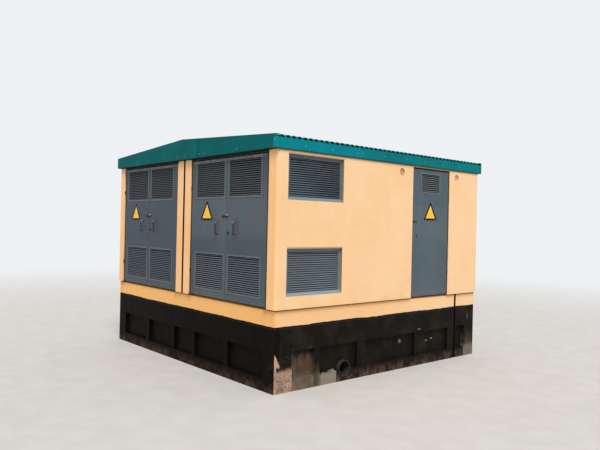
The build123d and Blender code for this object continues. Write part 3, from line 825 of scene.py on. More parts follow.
@dataclass(frozen=True)
class LouvreEnamel(DoorEnamel):
    """Enamel of the louvres in the long walls: painted highlight on the frame and sill, painted shade between
    the blades.
    """

    name: str = "louvre_enamel"
    colour: Colour = (0.088, 0.118, 0.140)
    # Painted highlight on the frame's face and, stronger, on the sill
    frame: Colour = (0.125, 0.158, 0.184)
    lit_sill: Colour = (0.175, 0.225, 0.260)
    lit_low_sill: Colour = (0.24, 0.30, 0.34)
    # Colour of the painted shade between the blades
    deep: Colour = (0.015, 0.015, 0.016)
    washed: Colour = (0.175, 0.215, 0.240)

    def worked(self, g: Graph, grain: Grain, colour: Signal) -> Signal:
        """Tones of frame, sill and blades: painted highlight on frame and sill, painted shade between the
        blades, paler on the lower louvres.

        Args:
            g: The finish's nodes.
            grain: Not used.
            colour: The plain enamel.

        Returns:
            The colour with its marks.
        """
        low, lit_sill = g.z.fall(2.2, 2.4), abs(g.x).rise(2.3655, 2.368)
        # Painted shade between the blades
        behind = abs(g.x).fall(2.346, 2.3585) * abs(g.x).rise(2.335, 2.339)
        return g.coats(
            colour,
            (abs(g.x).rise(2.361, 2.363) * 0.8, self.frame),
            (low * 0.55, self.washed),
            (lit_sill * 0.8, self.lit_sill),
            (lit_sill * low * 0.5, self.lit_low_sill),
            (behind * (1.0 - low * 0.16), self.deep))


@dataclass(frozen=True)
class FittingEnamel(DoorEnamel):
    """Dark brown-black enamel of pulls, latches and locks, with a painted highlight in pale zinc on the
    pulls' top bends.
    """

    name: str = "fitting_enamel"
    colour: Colour = (0.022, 0.018, 0.016)
    lighter: Colour = (0.035, 0.030, 0.028)
    darker: Colour = (0.012, 0.010, 0.009)
    side_door: Colour = (0.058, 0.073, 0.084)
    bare: Colour = (0.42, 0.45, 0.46)

    def worked(self, g: Graph, grain: Grain, colour: Signal) -> Signal:
        """Blue-grey on the side doors, and the painted highlight on the pulls' top bends.

        Args:
            g: The finish's nodes.
            grain: Its noises.
            colour: The plain enamel.

        Returns:
            The colour with its marks.
        """
        # Painted highlight in pale zinc on the pulls' top bends
        bend_highlights = g.z.within(2.241, 2.262, 0.006) * g.y.fall(-2.312, -2.302)
        return g.coats(
            colour,
            (abs(g.x).rise(2.380, 2.385) * 0.6, self.side_door),
            (bend_highlights * (0.25 + grain.fine.rise(0.35, 0.6) * 0.6), self.bare))


@dataclass(frozen=True)
class CastConcrete:
    """Raw formwork concrete of floors, roof slabs and party walls."""

    pale: Colour = (0.42, 0.40, 0.365)
    dull: Colour = (0.31, 0.295, 0.27)
    hole: Colour = (0.14, 0.13, 0.12)

    def build(self) -> bpy.types.Material:
        """Makes the material.

        Returns:
            The material.
        """
        g = Graph("cast_concrete")
        cloud = g.noise(2.2, 5.0, roughness=0.6)
        fine = g.noise(60.0, 4.0, roughness=0.7)
        holes = g.cells(30.0).fall(0.05, 0.09)
        colour = g.coats(self.pale, (cloud.rise(0.35, 0.7), self.dull), (holes * 0.6, self.hole))
        relief = g.bump(fine - holes * 0.8, 0.0025, g.bump(cloud, 0.004))
        return g.close(colour, 0.86, relief, specular=0.3)


@dataclass(frozen=True)
class SawnTimber:
    """Sawn softwood of the roof bearers."""

    pale: Colour = (0.50, 0.33, 0.17)
    dull: Colour = (0.33, 0.20, 0.10)
    ring: Colour = (0.24, 0.14, 0.07)

    def build(self) -> bpy.types.Material:
        """Makes the material.

        Returns:
            The material.
        """
        g = Graph("sawn_timber")
        grain = g.noise(5.0, 5.0, (0.35, 9.0, 9.0), 0.6)
        rings = g.node("ShaderNodeTexWave", {"bands_direction": "Z"}, {
            "Vector": g.place, "Scale": 16.0, "Distortion": 4.0, "Detail": 3.0}, "Fac")
        colour = g.coats(self.pale, (grain.rise(0.3, 0.7), self.dull), (rings * 0.35, self.ring))
        return g.close(colour, 0.8, g.bump(grain + rings * 0.4, 0.0015))


@dataclass(frozen=True)
class DarkFiller:
    """Matt black joint filler, gasket rubber and cable sleeve."""

    black: Colour = (0.012, 0.012, 0.012)
    dusty: Colour = (0.030, 0.028, 0.026)

    def build(self) -> bpy.types.Material:
        """Makes the material.

        Returns:
            The material.
        """
        g = Graph("dark_filler")
        fine = g.noise(90.0, 4.0)
        colour = g.blend(fine.rise(0.35, 0.75), self.black, self.dusty)
        return g.close(colour, 0.7 + fine * 0.2, g.bump(fine, 0.0008))


class MetalTone(Enum):
    """Metal of small pieces: colour, roughness and metal share."""

    ZINC = ((0.56, 0.60, 0.60), 0.38, 0.8)
    # Rivet heads a lighter teal than the sheet, partly as painted highlight
    RIVET = ((0.17, 0.56, 0.57), 0.42, 0.2)
    LOOP = ((0.40, 0.31, 0.22), 0.60, 0.2)
    IRON = ((0.045, 0.042, 0.040), 0.50, 0.6)


@dataclass(frozen=True)
class SmallMetal:
    """Plain metal of bars, screws and rivets, with a little tarnish."""

    tone: MetalTone
    tarnish: Colour = (0.6, 0.5, 0.42)

    def build(self) -> bpy.types.Material:
        """Makes the material.

        Returns:
            The material.
        """
        colour, rough, metal = self.tone.value
        g = Graph("metal_" + self.tone.name.lower())
        fine = g.noise(70.0, 4.0, roughness=0.65)
        tarnished = tuple(c * t for c, t in zip(colour, self.tarnish))
        shown = g.blend(fine.rise(0.5, 0.8), colour, tarnished)
        return g.close(shown, rough + fine * 0.2, g.bump(fine, 0.0004), metallic=metal)


@dataclass(frozen=True)
class PlateEnamel:
    """Enamel of the bare three-cornered door plates: a yellow face or its black border."""

    name: str
    colour: Colour
    coat: float = 0.15
    specular: float = 0.5

    def build(self) -> bpy.types.Material:
        """Makes the material.

        Returns:
            The material.
        """
        g = Graph(self.name)
        fine = g.noise(80.0, 4.0, roughness=0.7)
        colour = g.coats(
            self.colour,
            (g.noise(9.0, 4.0).rise(0.35, 0.75) * 0.5, scaled(self.colour, 0.90)),
            (fine.rise(0.62, 0.78) * 0.35, scaled(self.colour, 0.60)))
        relief = g.bump(fine, 0.0003)
        return g.close(colour, 0.34 + fine * 0.2, relief, coat=self.coat, specular=self.specular)


@dataclass
class Finishes:
    """Every finish of the object, built once."""

    made: dict[str, bpy.types.Material] = field(default_factory=dict)

    def build(self) -> None:
        """Builds the materials by name."""
        finishes = {
            "facade": FacadePaint(), "base": BaseCoat(), "leaf": LeafEnamel(), "frame": FrameEnamel(),
            "louvre": LouvreEnamel(), "fitting": FittingEnamel(), "concrete": CastConcrete(),
            "timber": SawnTimber(), "filler": DarkFiller(),
            "plate_face": PlateEnamel("plate_face", (0.98, 0.53, 0.020)),
            "plate_border": PlateEnamel("plate_border", (0.009, 0.006, 0.003), coat=0.0, specular=0.08),
            **{side.name.lower(): CoatedSheet(side) for side in SheetSide},
            **{tone.name.lower(): SmallMetal(tone) for tone in MetalTone}}
        self.made = {name: finish.build() for name, finish in finishes.items()}
        log.info("%d finishes", len(self.made))

    def dress(self, finish: str, *nodes: str) -> None:
        """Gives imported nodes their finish.

        Args:
            finish: The finish's name.
            nodes: The nodes' names.
        """
        for node in nodes:
            piece = frame["nodes"][node]
            if not piece.material_slots:
                piece.data.materials.append(None)
            for place in piece.material_slots:
                place.material = self.made[finish]


# Shapes

@dataclass
class Shape:
    """A mesh under construction."""

    points: list[Vector] = field(default_factory=list)
    faces: list[tuple[int, ...]] = field(default_factory=list)
    finishes: list[int] = field(default_factory=list)

    def face(self, corners: Sequence[int], finish: int = 0) -> None:
        """Adds one face."""
        self.faces.append(tuple(corners))
        self.finishes.append(finish)

    def rings(self, loops: Sequence[Sequence[Vector]], finishes: Sequence[int] | None = None,
              ends: bool = True) -> None:
        """Skins closed loops of equal count, one after another.

        Args:
            loops: The loops, each turning the same way.
            finishes: Material number of each band and then of both ends.
            ends: Whether the first and last loop are filled.
        """
        count = len(loops[0])
        first = len(self.points)
        kinds = list(finishes or [0] * (len(loops) + 1))
        for loop in loops:
            self.points.extend(Vector(p) for p in loop)
        for band in range(len(loops) - 1):
            low, high = first + band * count, first + (band + 1) * count
            for i in range(count):
                j = (i + 1) % count
                self.face((low + i, low + j, high + j, high + i), kinds[band])
        if ends:
            self.face([first + i for i in reversed(range(count))], kinds[-2])
            self.face([first + (len(loops) - 1) * count + i for i in range(count)], kinds[-1])

    def chamfered(self, low: Point, high: Point, cut: float) -> None:
        """A block with all its edges chamfered.

        Args:
            low: Lowest corner.
            high: Highest corner.
            cut: Width of the chamfer.
        """
        (x0, y0, z0), (x1, y1, z1) = low, high

        def loop(inset: float, z: float) -> list[Vector]:
            """Rings one level.

            Args:
                inset: How far inside the block's sides.
                z: The level.

            Returns:
                Its eight corners.
            """
            a, b, c, d = x0 + inset, x1 - inset, y0 + inset, y1 - inset
            return [Vector(p) for p in (
                (a + cut, c, z), (b - cut, c, z), (b, c + cut, z), (b, d - cut, z),
                (b - cut, d, z), (a + cut, d, z), (a, d - cut, z), (a, c + cut, z))]

        self.rings([loop(cut, z0), loop(0, z0 + cut), loop(0, z1 - cut), loop(cut, z1)])

    def turned(self, centre: Point, axis: Point, profile: Sequence[Span], sides: int,
               hollow: bool = False) -> None:
        """A turned piece.

        Args:
            centre: Where its axis starts.
            axis: Direction of the axis.
            profile: (distance along the axis, radius) of each ring.
            sides: Faces around.
            hollow: Whether the profile closes on itself instead of at the axis.
        """
        along = Vector(axis).normalized()
        across = along.orthogonal().normalized()
        other = along.cross(across)
        angles = [math.tau * i / sides for i in range(sides)]
        loops = [[Vector(centre) + along * distance + (across * math.cos(a) + other * math.sin(a)) * radius
                  for a in angles] for distance, radius in profile]
        if hollow:
            loops.append(loops[0])
        self.rings(loops, ends=not hollow)

    def build(self, name: str, materials: Sequence[bpy.types.Material]) -> bpy.types.Object:
        """Makes the mesh and its object.

        Args:
            name: The piece's name.
            materials: Its finishes in order.

        Returns:
            The object, at the origin.
        """
        mesh = bpy.data.meshes.new(name)
        mesh.from_pydata([tuple(p) for p in self.points], [], self.faces)
        for material in materials:
            mesh.materials.append(material)
        for polygon, finish in zip(mesh.polygons, self.finishes):
            polygon.material_index = finish
        tidy_mesh(mesh)
        return placed(name, mesh)


def placed(name: str, data: Any) -> bpy.types.Object:
    """Puts a mesh, lamp or camera into the scene.

    Args:
        name: The object's name.
        data: The mesh, lamp or camera.

    Returns:
        The object, at the origin.
    """
    holder = bpy.data.objects.new(name, data)
    bpy.context.scene.collection.objects.link(holder)
    return holder


def tidy_mesh(mesh: bpy.types.Mesh) -> None:
    """Merges doubles, turns the faces outwards and shades shallow edges smooth.

    Args:
        mesh: The mesh.
    """
    work = bmesh.new()
    work.from_mesh(mesh)
    bmesh.ops.remove_doubles(work, verts=work.verts, dist=SAME_POINT)
    bmesh.ops.recalc_face_normals(work, faces=work.faces)
    for side in work.faces:
        side.smooth = True
    for edge in work.edges:
        edge.smooth = len(edge.link_faces) == 2 and edge.calc_face_angle(0.0) < SMOOTH_ANGLE
    work.to_mesh(mesh)
    work.free()


# Geometry Nodes

@dataclass(frozen=True)
class Row:
    """A straight row of heads; one without an end is a single head."""

    start: Point
    facing: Point
    end: Point | None = None
    count: int = 1


@dataclass(frozen=True)
class Head:
    """A screw or rivet head on its washer, in metres, with the share of its radius that its top has."""

    radius: float
    height: float
    sides: int
    washer_radius: float
    washer_height: float
    top: float = 0.75


class Tree(Nodes):
    """A Geometry Nodes tree with named inputs."""

    def __init__(self, name: str, inputs: dict[str, str]) -> None:
        """Starts a tree.

        Args:
            name: The tree's name.
            inputs: Kind of each named input.
        """
        super().__init__(bpy.data.node_groups.new(name, "GeometryNodeTree"))
        self.tree.interface.new_socket("Geometry", in_out="OUTPUT", socket_type="NodeSocketGeometry")
        for label, kind in {"Geometry": "Geometry", **inputs, "Finish": "Material"}.items():
            self.tree.interface.new_socket(label, in_out="INPUT", socket_type="NodeSocket" + kind)
        self.source = self.tree.nodes.new("NodeGroupInput")

    def given(self, label: str) -> Signal:
        """The value of a named input."""
        return Signal(self, self.source.outputs[label])

    def finish(self, geometry: Signal) -> None:
        """Realizes the instances, sets the finish and closes the tree.

        Args:
            geometry: What the tree has made.
        """
        real = self.node("GeometryNodeRealizeInstances", None, {"Geometry": geometry})
        dressed = self.node("GeometryNodeSetMaterial", None, {
            "Geometry": real, "Material": self.given("Finish")})
        self.node("NodeGroupOutput", None, {0: dressed})

    def apply(self, name: str, mesh: bpy.types.Mesh, inputs: dict[str, Any]) -> bpy.types.Object:
        """Runs the tree on a mesh and keeps the result as a plain mesh.

        Args:
            name: Name of the new piece.
            mesh: The mesh that the tree starts from.
            inputs: Values of the named inputs.

        Returns:
            The new piece, with no modifier.
        """
        holder = placed(name + "_source", mesh)
        modifier = holder.modifiers.new("tree", "NODES")
        modifier.node_group = self.tree
        for item in self.tree.interface.items_tree:
            if item.item_type == "SOCKET" and item.in_out == "INPUT" and item.name in inputs:
                modifier[item.identifier] = inputs[item.name]
        graph = bpy.context.evaluated_depsgraph_get()
        made = bpy.data.meshes.new_from_object(holder.evaluated_get(graph), depsgraph=graph)
        bpy.data.objects.remove(holder)
        return placed(name, made)


class HeadRows:
    """Sets heads of screws or rivets along straight rows."""

    def __init__(self) -> None:
        """Builds the tree: rows become points, and each point gets a head that faces outwards."""
        t = self.tree = Tree("head_rows", {
            "Head Radius": "Float", "Head Height": "Float", "Head Sides": "Int", "Head Top": "Float",
            "Washer Radius": "Float", "Washer Height": "Float", "Spin Seed": "Int"})
        curve = t.node("GeometryNodeMeshToCurve", None, {"Mesh": t.given("Geometry")})
        count = self.named("INT", "count")
        points = t.node("GeometryNodeResampleCurve", None, {"Curve": curve, "Count": count})
        washer = t.node("GeometryNodeMeshCone", None, {
            "Vertices": 12, "Radius Top": t.given("Washer Radius"), "Radius Bottom": t.given("Washer Radius"),
            "Depth": t.given("Washer Height")})
        head = t.node("GeometryNodeMeshCone", None, {
            "Vertices": t.given("Head Sides"), "Radius Top": t.given("Head Radius") * t.given("Head Top"),
            "Radius Bottom": t.given("Head Radius"), "Depth": t.given("Head Height")})
        lift = t.node("ShaderNodeCombineXYZ", None, {"Z": t.given("Washer Height")})
        head = t.node("GeometryNodeTransform", None, {"Geometry": head, "Translation": lift})
        both = t.node("GeometryNodeJoinGeometry", None, {0: [washer, head]})
        facing = self.named("FLOAT_VECTOR", "facing")
        turn = t.node("FunctionNodeAlignRotationToVector", {"axis": "Z"}, {"Vector": facing})
        spin = t.node("FunctionNodeRandomValue", {"data_type": "FLOAT_VECTOR"}, {
            "Min": (0.0, 0.0, 0.0), "Max": (0.0, 0.0, math.tau), "Seed": t.given("Spin Seed")})
        turn = t.node("FunctionNodeRotateRotation", {"rotation_space": "LOCAL"},
                      {"Rotation": turn, "Rotate By": spin})
        t.finish(t.node("GeometryNodeInstanceOnPoints", None, {
            "Points": points, "Instance": both, "Rotation": turn}))

    def named(self, kind: str, name: str) -> Signal:
        """Reads a named attribute of the rows."""
        return self.tree.node("GeometryNodeInputNamedAttribute", {"data_type": kind}, {"Name": name})

    def lay(self, name: str, rows: Sequence[Row], head: Head, finish: bpy.types.Material,
            seed: int = 3) -> bpy.types.Object:
        """Lays heads along rows.

        Args:
            name: The piece's name.
            rows: The rows.
            head: The head's form.
            finish: Its material.
            seed: Seed of the heads' turn.

        Returns:
            One plain mesh with every head.
        """
        points = []
        for row in rows:
            start = Vector(row.start)
            stub = Vector(row.facing).orthogonal().normalized() * 0.01
            points += [tuple(start), tuple(row.end or start + stub)]
        mesh = bpy.data.meshes.new(name + "_rows")
        mesh.from_pydata(points, [(i, i + 1) for i in range(0, len(points), 2)], [])
        for label, kind, key in (("count", "INT", "value"), ("facing", "FLOAT_VECTOR", "vector")):
            data = mesh.attributes.new(label, kind, "POINT").data
            for index, place in enumerate(data):
                setattr(place, key, getattr(rows[index // 2], label))
        return self.tree.apply(name, mesh, {
            "Head Radius": head.radius, "Head Height": head.height, "Head Sides": head.sides,
            "Head Top": head.top, "Washer Radius": head.washer_radius, "Washer Height": head.washer_height,
            "Spin Seed": seed, "Finish": finish})


class Beads:
    """Runs a round bead, such as a door gasket or a bent wire, along paths."""

    def __init__(self) -> None:
        """Builds the tree: each path becomes a rounded curve with a round section."""
        t = self.tree = Tree("beads", {"Bead Radius": "Float", "Bead Sides": "Int", "Corner Radius": "Float"})
        curve = t.node("GeometryNodeMeshToCurve", None, {"Mesh": t.given("Geometry")})
        curve = t.node("GeometryNodeFilletCurve", None, {"Curve": curve, "Radius": t.given("Corner Radius")})
        section = t.node("GeometryNodeCurvePrimitiveCircle", None, {
            "Resolution": t.given("Bead Sides"), "Radius": t.given("Bead Radius")})
        skin = t.node("GeometryNodeCurveToMesh", None, {
            "Curve": curve, "Profile Curve": section, "Fill Caps": True})
        t.finish(t.node("GeometryNodeSetShadeSmooth", None, {"Geometry": skin}))

    def run(self, name: str, paths: Sequence[Sequence[Point]], radii: Span, sides: int,
            finish: bpy.types.Material) -> bpy.types.Object:
        """Runs a bead along open paths.

        Args:
            name: The piece's name.
            paths: Points of each path.
            radii: The bead's radius and the radius of its corners.
            sides: Faces around the bead.
            finish: Its material.

        Returns:
            One plain mesh.
        """
        points: list[Point] = []
        edges: list[tuple[int, int]] = []
        for path in paths:
            edges += [(len(points) + i, len(points) + i + 1) for i in range(len(path) - 1)]
            points += path
        mesh = bpy.data.meshes.new(name + "_paths")
        mesh.from_pydata(points, edges, [])
        return self.tree.apply(name, mesh, {
            "Bead Radius": radii[0], "Bead Sides": sides, "Corner Radius": radii[1], "Finish": finish})


# Sub-assemblies

@dataclass
class Workshop:
    """What every sub-assembly works with."""

    finishes: Finishes
    head_rows: HeadRows
    bead_runs: Beads

    def fit(self, piece: bpy.types.Object, body: str) -> None:
        """Lets a piece ride on a body.

        Args:
            piece: The piece.
            body: The body that carries it.
        """
        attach(piece, body)
        log.info("%s on %s, %d faces", piece.name, body, len(piece.data.polygons))

    def solid(self, name: str, shape: Shape, finishes: Sequence[str], body: str, slot: str) -> None:
        """Fits a piece from its shape.

        Args:
            name: The piece's name.
            shape: Its shape.
            finishes: Names of its finishes in order.
            body: The body that carries it.
            slot: Not used.
        """
        self.fit(shape.build(name, [self.finishes.made[f] for f in finishes]), body)

    def heads(self, name: str, rows: Sequence[Row], head: Head, finish: str, body: str, slot: str) -> None:
        """Fits rows of screws or rivets as one piece.

        Args:
            name: The piece's name.
            rows: The rows.
            head: The head's form.
            finish: Name of its finish.
            body: The body that carries it.
            slot: Not used.
        """
        self.fit(self.head_rows.lay(name, rows, head, self.finishes.made[finish]), body)

    def beads(self, name: str, paths: Sequence[Sequence[Point]], radii: Span, sides: int, finish: str,
              body: str, slot: str) -> None:
        """Fits runs of a round bead as one piece.

        Args:
            name: The piece's name.
            paths: Points of each path.
            radii: The bead's radius and the radius of its corners.
            sides: Faces around the bead.
            finish: Name of its finish.
            body: The body that carries it.
            slot: Not used.
        """
        self.fit(self.bead_runs.run(name, paths, radii, sides, self.finishes.made[finish]), body)


@dataclass
class Shells:
    """The two concrete modules, their louvres in the long walls and their lifting points."""

    shop: Workshop
    louvre_face: float = 2.365
    screw_inset: float = 0.023
    screw_foot: float = 0.09
    screw_gap: float = 0.16
    screws_over: int = 4
    screws_beside: int = 3
    screw: Head = Head(radius=0.0055, height=0.0028, sides=6, washer_radius=0.0085, washer_height=0.0012)
    border: float = 0.0463
    bite: float = 0.0005
    stop_height: float = 0.0112
    stop_depth: Span = (2.337, 2.351)
    stop_cut: float = 0.001

    def dress(self) -> None:
        """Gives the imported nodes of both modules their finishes."""
        parts = {
            "facade": ("outer_pillar", "inner_pillar", "front_lintel", "long_wall_front", "long_wall_back",
                       "side_lintel", "back_wall"),
            "concrete": ("floor", "party_wall", "roof_slab"),
            "louvre": ("lower_louvre", "upper_louvre")}
        for module in MODULE_SHIFTS:
            for finish, names in parts.items():
                self.shop.finishes.dress(finish, *(f"{module}_{name}" for name in names))
        self.shop.finishes.dress("filler", "joint_seals")
        self.shop.finishes.dress("loop", "lifting_loops")
        self.shop.finishes.dress("facade", "lifting_pockets")

    def build(self) -> None:
        """Adds the louvre frames' screws and the stops that close each louvre under its lowest blade."""
        rows, stops = [], Shape()
        start, end = WALL_LOUVRES
        first, last = start + self.screw_inset, end - self.screw_inset
        inset = self.border - self.bite
        for side in (1.0, -1.0):
            x, facing = side * self.louvre_face, (side, 0.0, 0.0)
            near, far = sorted(side * depth for depth in self.stop_depth)
            for low, high in WALL_LOUVRE_LEVELS:
                foot, head = low + self.screw_foot, high - self.screw_inset
                top = head - self.screw_gap
                rows.append(Row((x, first, head), facing, (x, last, head), self.screws_over))
                rows += [Row((x, y, foot), facing, (x, y, top), self.screws_beside) for y in (first, last)]
                stops.chamfered((near, start + inset, low + inset),
                                (far, end - inset, low + self.border + self.stop_height), self.stop_cut)
        self.shop.heads("louvre_screws", rows, self.screw, "louvre", "station", "louvre_paint")
        self.shop.solid("wall_louvre_stops", stops, ["louvre"], "station", "louvre_paint")


@dataclass
class Base:
    """Ribbed concrete base with its coat, and the sleeve in its cable entry."""

    shop: Workshop
    hole: Span = (-0.97, 0.18)
    sleeve_start: float = 2.24
    sleeve_end: float = 2.382
    outer: float = 0.1175
    inner: float = 0.1065
    cut: float = 0.003
    sides: int = 40

    def dress(self) -> None:
        """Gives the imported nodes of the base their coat."""
        walls = ("front_wall", "east_wall", "west_wall", "end_block")
        self.shop.finishes.dress("base", *("base_" + wall for wall in walls))
        self.shop.finishes.dress("concrete", "base_floor")

    def build(self) -> None:
        """Adds the sleeve that is cast into the cable entry."""
        reach, inner, outer, cut = self.sleeve_end - self.sleeve_start, self.inner, self.outer, self.cut
        profile = ((0, inner), (0, outer), (reach - cut, outer), (reach, outer - cut),
                   (reach, inner + cut), (reach - cut, inner))
        sleeve = Shape()
        sleeve.turned((self.sleeve_start, *self.hole), (1, 0, 0), profile, self.sides, hollow=True)
        self.shop.solid("cable_sleeve", sleeve, ["filler"], "station", "joint_filler")


@dataclass
class Roof:
    """Profiled sheets, ridge cap and teal cladding, with their screws and rivets."""

    shop: Workshop
    ridge_height: float = 3.558
    slope: float = 0.142 / 2.42
    first_crest: float = -2.25
    screw_lines: tuple[Span, ...] = ((0.13, 0.0023), (0.95, 0.0), (1.68, 0.0), (2.34, 0.0))
    screws_in_line: int = 16
    screw: Head = Head(radius=0.0050, height=0.0050, sides=6, washer_radius=0.0095, washer_height=0.0022)
    rivet: Head = Head(
        radius=0.0052, height=0.0026, sides=10, washer_radius=0.0072, washer_height=0.0010, top=0.45)
    gable_rivets: tuple[float, ...] = (-2.10, -1.62, -1.15, -0.62, -0.15, 0.08, 0.524, 0.654, 1.52)
    gable_rivet_height: float = 3.291
    gable_face: float = 2.355
    eave_rivets: tuple[float, ...] = (-1.845, -1.339, -0.835, -0.74, -0.256, 0.264, 0.75, 1.217, 1.70)
    eave_rivet_height: float = 3.303
    eave_face: float = 2.42
    trim_rivet: Point = (2.39, 2.357, 3.345)

    def dress(self) -> None:
        """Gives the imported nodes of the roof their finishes."""
        self.shop.finishes.dress("roof", "roof_sheet_east", "roof_sheet_west", "ridge_cap")
        self.shop.finishes.dress("gable", "fascia_front_west", "fascia_front_east", "fascia_back")
        self.shop.finishes.dress("eave", "fascia_east", "fascia_west", "corner_trims")
        self.shop.finishes.dress("timber", "roof_bearers")

    def build(self) -> None:
        """Adds the sheet screws and the rivets of the cladding."""
        tilt = math.atan(self.slope)
        rows = []
        for side in (1.0, -1.0):
            facing = (side * math.sin(tilt), 0.0, math.cos(tilt))
            for x, lift in self.screw_lines:
                z = self.ridge_height - self.slope * x + lift
                first, last = ((side * x, end * self.first_crest, z) for end in (1, -1))
                rows.append(Row(first, facing, last, self.screws_in_line))
        self.shop.heads("roof_screws", rows, self.screw, "roof", "station", "teal_sheet")
        self.shop.heads("cladding_rivets", self.rivet_rows(), self.rivet, "rivet", "station", "teal_sheet")

    def rivet_rows(self) -> list[Row]:
        """Rivets of the gable, eave and corner cladding, set unevenly as by hand.

        Returns:
            Each rivet as a row of its own.
        """
        rows = []
        for x in self.gable_rivets:
            for end in (-1, 1):
                rows.append(Row((-end * x, end * self.gable_face, self.gable_rivet_height), (0, end, 0)))
        for y in self.eave_rivets:
            for side in (1, -1):
                rows.append(Row((side * self.eave_face, y, self.eave_rivet_height), (side, 0, 0)))
        x, y, z = self.trim_rivet
        return rows + [Row((side * x, end * y, z), (0, end, 0)) for side in (1, -1) for end in (1, -1)]


@dataclass
class DoorPlate:
    """A bare three-cornered enamel plate with a dark border, on a door leaf."""

    shop: Workshop
    side: float = 0.348
    corner: float = 0.016
    least_corner: float = 0.004
    border: float = 0.029
    thickness: float = 0.0016
    lip: float = 0.0007
    edge: float = 0.0005
    edge_inset: float = 0.0006
    lip_inset: float = 0.0004
    screw_places: tuple[Span, ...] = ((-0.120, 0.0125), (0.120, 0.0125), (0.0, 0.238))
    screw: Head = Head(radius=0.0042, height=0.0016, sides=12, washer_radius=0.0050, washer_height=0.0005)

    def outline(self, inset: float) -> list[Span]:
        """Rounded triangle about the middle of its foot.

        Args:
            inset: How far inside the outer edge.

        Returns:
            Points of (across, up).
        """
        height = self.side * math.sqrt(3) / 2
        centre = height / 3
        radius = max(self.corner - inset, self.least_corner)
        reach = height * 2 / 3 - 2 * inset - 2 * radius
        points = []
        for corner in range(3):
            middle = math.radians(90 + 120 * corner)
            cx, cz = reach * math.cos(middle), centre + reach * math.sin(middle)
            for step in range(7):
                angle = middle + math.radians(-60 + 20 * step)
                points.append((cx + radius * math.cos(angle), cz + radius * math.sin(angle)))
        return points

    def build(self, name: str, body: str, foot: Point, facing: Point) -> None:
        """Builds one plate with its three screws.

        Args:
            name: The piece's name.
            body: The door that carries it.
            foot: Middle of its lower edge on the leaf.
            facing: The way it faces.
        """
        out = Vector(facing)
        across = Vector((0, 0, 1)).cross(out) * -1
        high = self.thickness + self.lip

        def at(places: Sequence[Span], rise: float) -> list[Vector]:
            """Points of the plate at one height over the leaf."""
            return [Vector(foot) + across * a + Vector((0, 0, z)) + out * rise for a, z in places]

        levels = ((0.0, 0.0), (0.0, high - self.edge), (self.edge_inset, high), (self.border, high),
                  (self.border + self.lip_inset, self.thickness))
        shape = Shape()
        shape.rings([at(self.outline(inset), rise) for inset, rise in levels], [1, 1, 1, 1, 1, 0])
        self.shop.solid(name, shape, ["plate_face", "plate_border"], body, "door_fittings")
        rows = [Row(tuple(p), facing) for p in at(self.screw_places, high)]
        self.shop.heads(name + "_screws", rows, self.screw, "zinc", body, "door_fittings")


@dataclass
class LouvreStops:
    """Bars that close each louvre of a leaf under its lowest blade."""

    shop: Workshop
    louvres: tuple[tuple[str, float, float], ...] = (("left", 0.385, 1.146), ("right", 1.274, 2.035))
    feet: Span = (1.25, 2.63)
    side_louvre: Point = (0.699, 1.164, 2.824)
    back: float = 0.0145
    depth: float = 0.0105
    height: float = 0.0112
    bite: float = 0.0005
    cut: float = 0.001

    def build(self) -> None:
        """Builds the stops of the front leaves and of the side leaves."""
        back, bite = LEAF_FACE + self.back, self.bite
        for module, shift in MODULE_SHIFTS.items():
            for side, low, high in self.louvres:
                name, shape = f"{module}_{side}", Shape()
                for z in self.feet:
                    shape.chamfered((low + shift - bite, back, z - bite),
                                    (high + shift + bite, back + self.depth, z + self.height), self.cut)
                self.shop.solid(name + "_louvre_stops", shape, ["leaf"], name + "_door", "louvre_paint")
        low, high, z = self.side_louvre
        back = SIDE_FACE - self.back
        for side, name, body in ((1, "side", "side_door"), (-1, "west_side", "station")):
            near, far = sorted((side * back, side * (back - self.depth)))
            shape = Shape()
            shape.chamfered((near, low - bite, z - bite), (far, high + bite, z + self.height), self.cut)
            self.shop.solid(name + "_louvre_stop", shape, ["leaf"], body, "louvre_paint")


@dataclass
class Catches:
    """On each pair's right leaf, the dark keeper of the latch with its bright staple."""

    shop: Workshop
    start: float = 1.217
    middle: float = 2.338
    half: float = 0.013
    width: float = 0.044
    rise: float = 0.010
    bite: float = 0.001
    cut: float = 0.003
    stud_at: float = 0.033
    stud: tuple[Span, ...] = ((0, 0.008), (0.003, 0.008), (0.005, 0.006))
    stud_sides: int = 12
    staple_width: float = 0.030
    staple_foot: Span = (LEAF_FACE + 0.003, 2.355)
    staple_crown: Span = (LEAF_FACE - 0.022, 2.359)
    staple_radii: Span = (0.005, 0.008)
    staple_sides: int = 8

    def build(self) -> None:
        """Builds both catches."""
        low, high = self.middle - self.half, self.middle + self.half
        outer, inner = LEAF_FACE - self.rise, LEAF_FACE + self.bite
        foot, crown = self.staple_foot, self.staple_crown
        for module, shift in MODULE_SHIFTS.items():
            x, body = self.start + shift, module + "_right_door"
            keeper = Shape()
            keeper.chamfered((x, outer, low), (x + self.width, inner, high), self.cut)
            stud = (x + self.stud_at, outer + self.bite, self.middle)
            keeper.turned(stud, (0, -1, 0), self.stud, self.stud_sides)
            self.shop.solid(module + "_latch_keeper", keeper, ["iron"], body, "door_fittings")
            far = x + self.staple_width
            path = [(x, *foot), (x, *crown), (far, *crown), (far, *foot)]
            self.shop.beads(module + "_latch_staple", [path], self.staple_radii, self.staple_sides,
                            "zinc", body, "loop_steel")


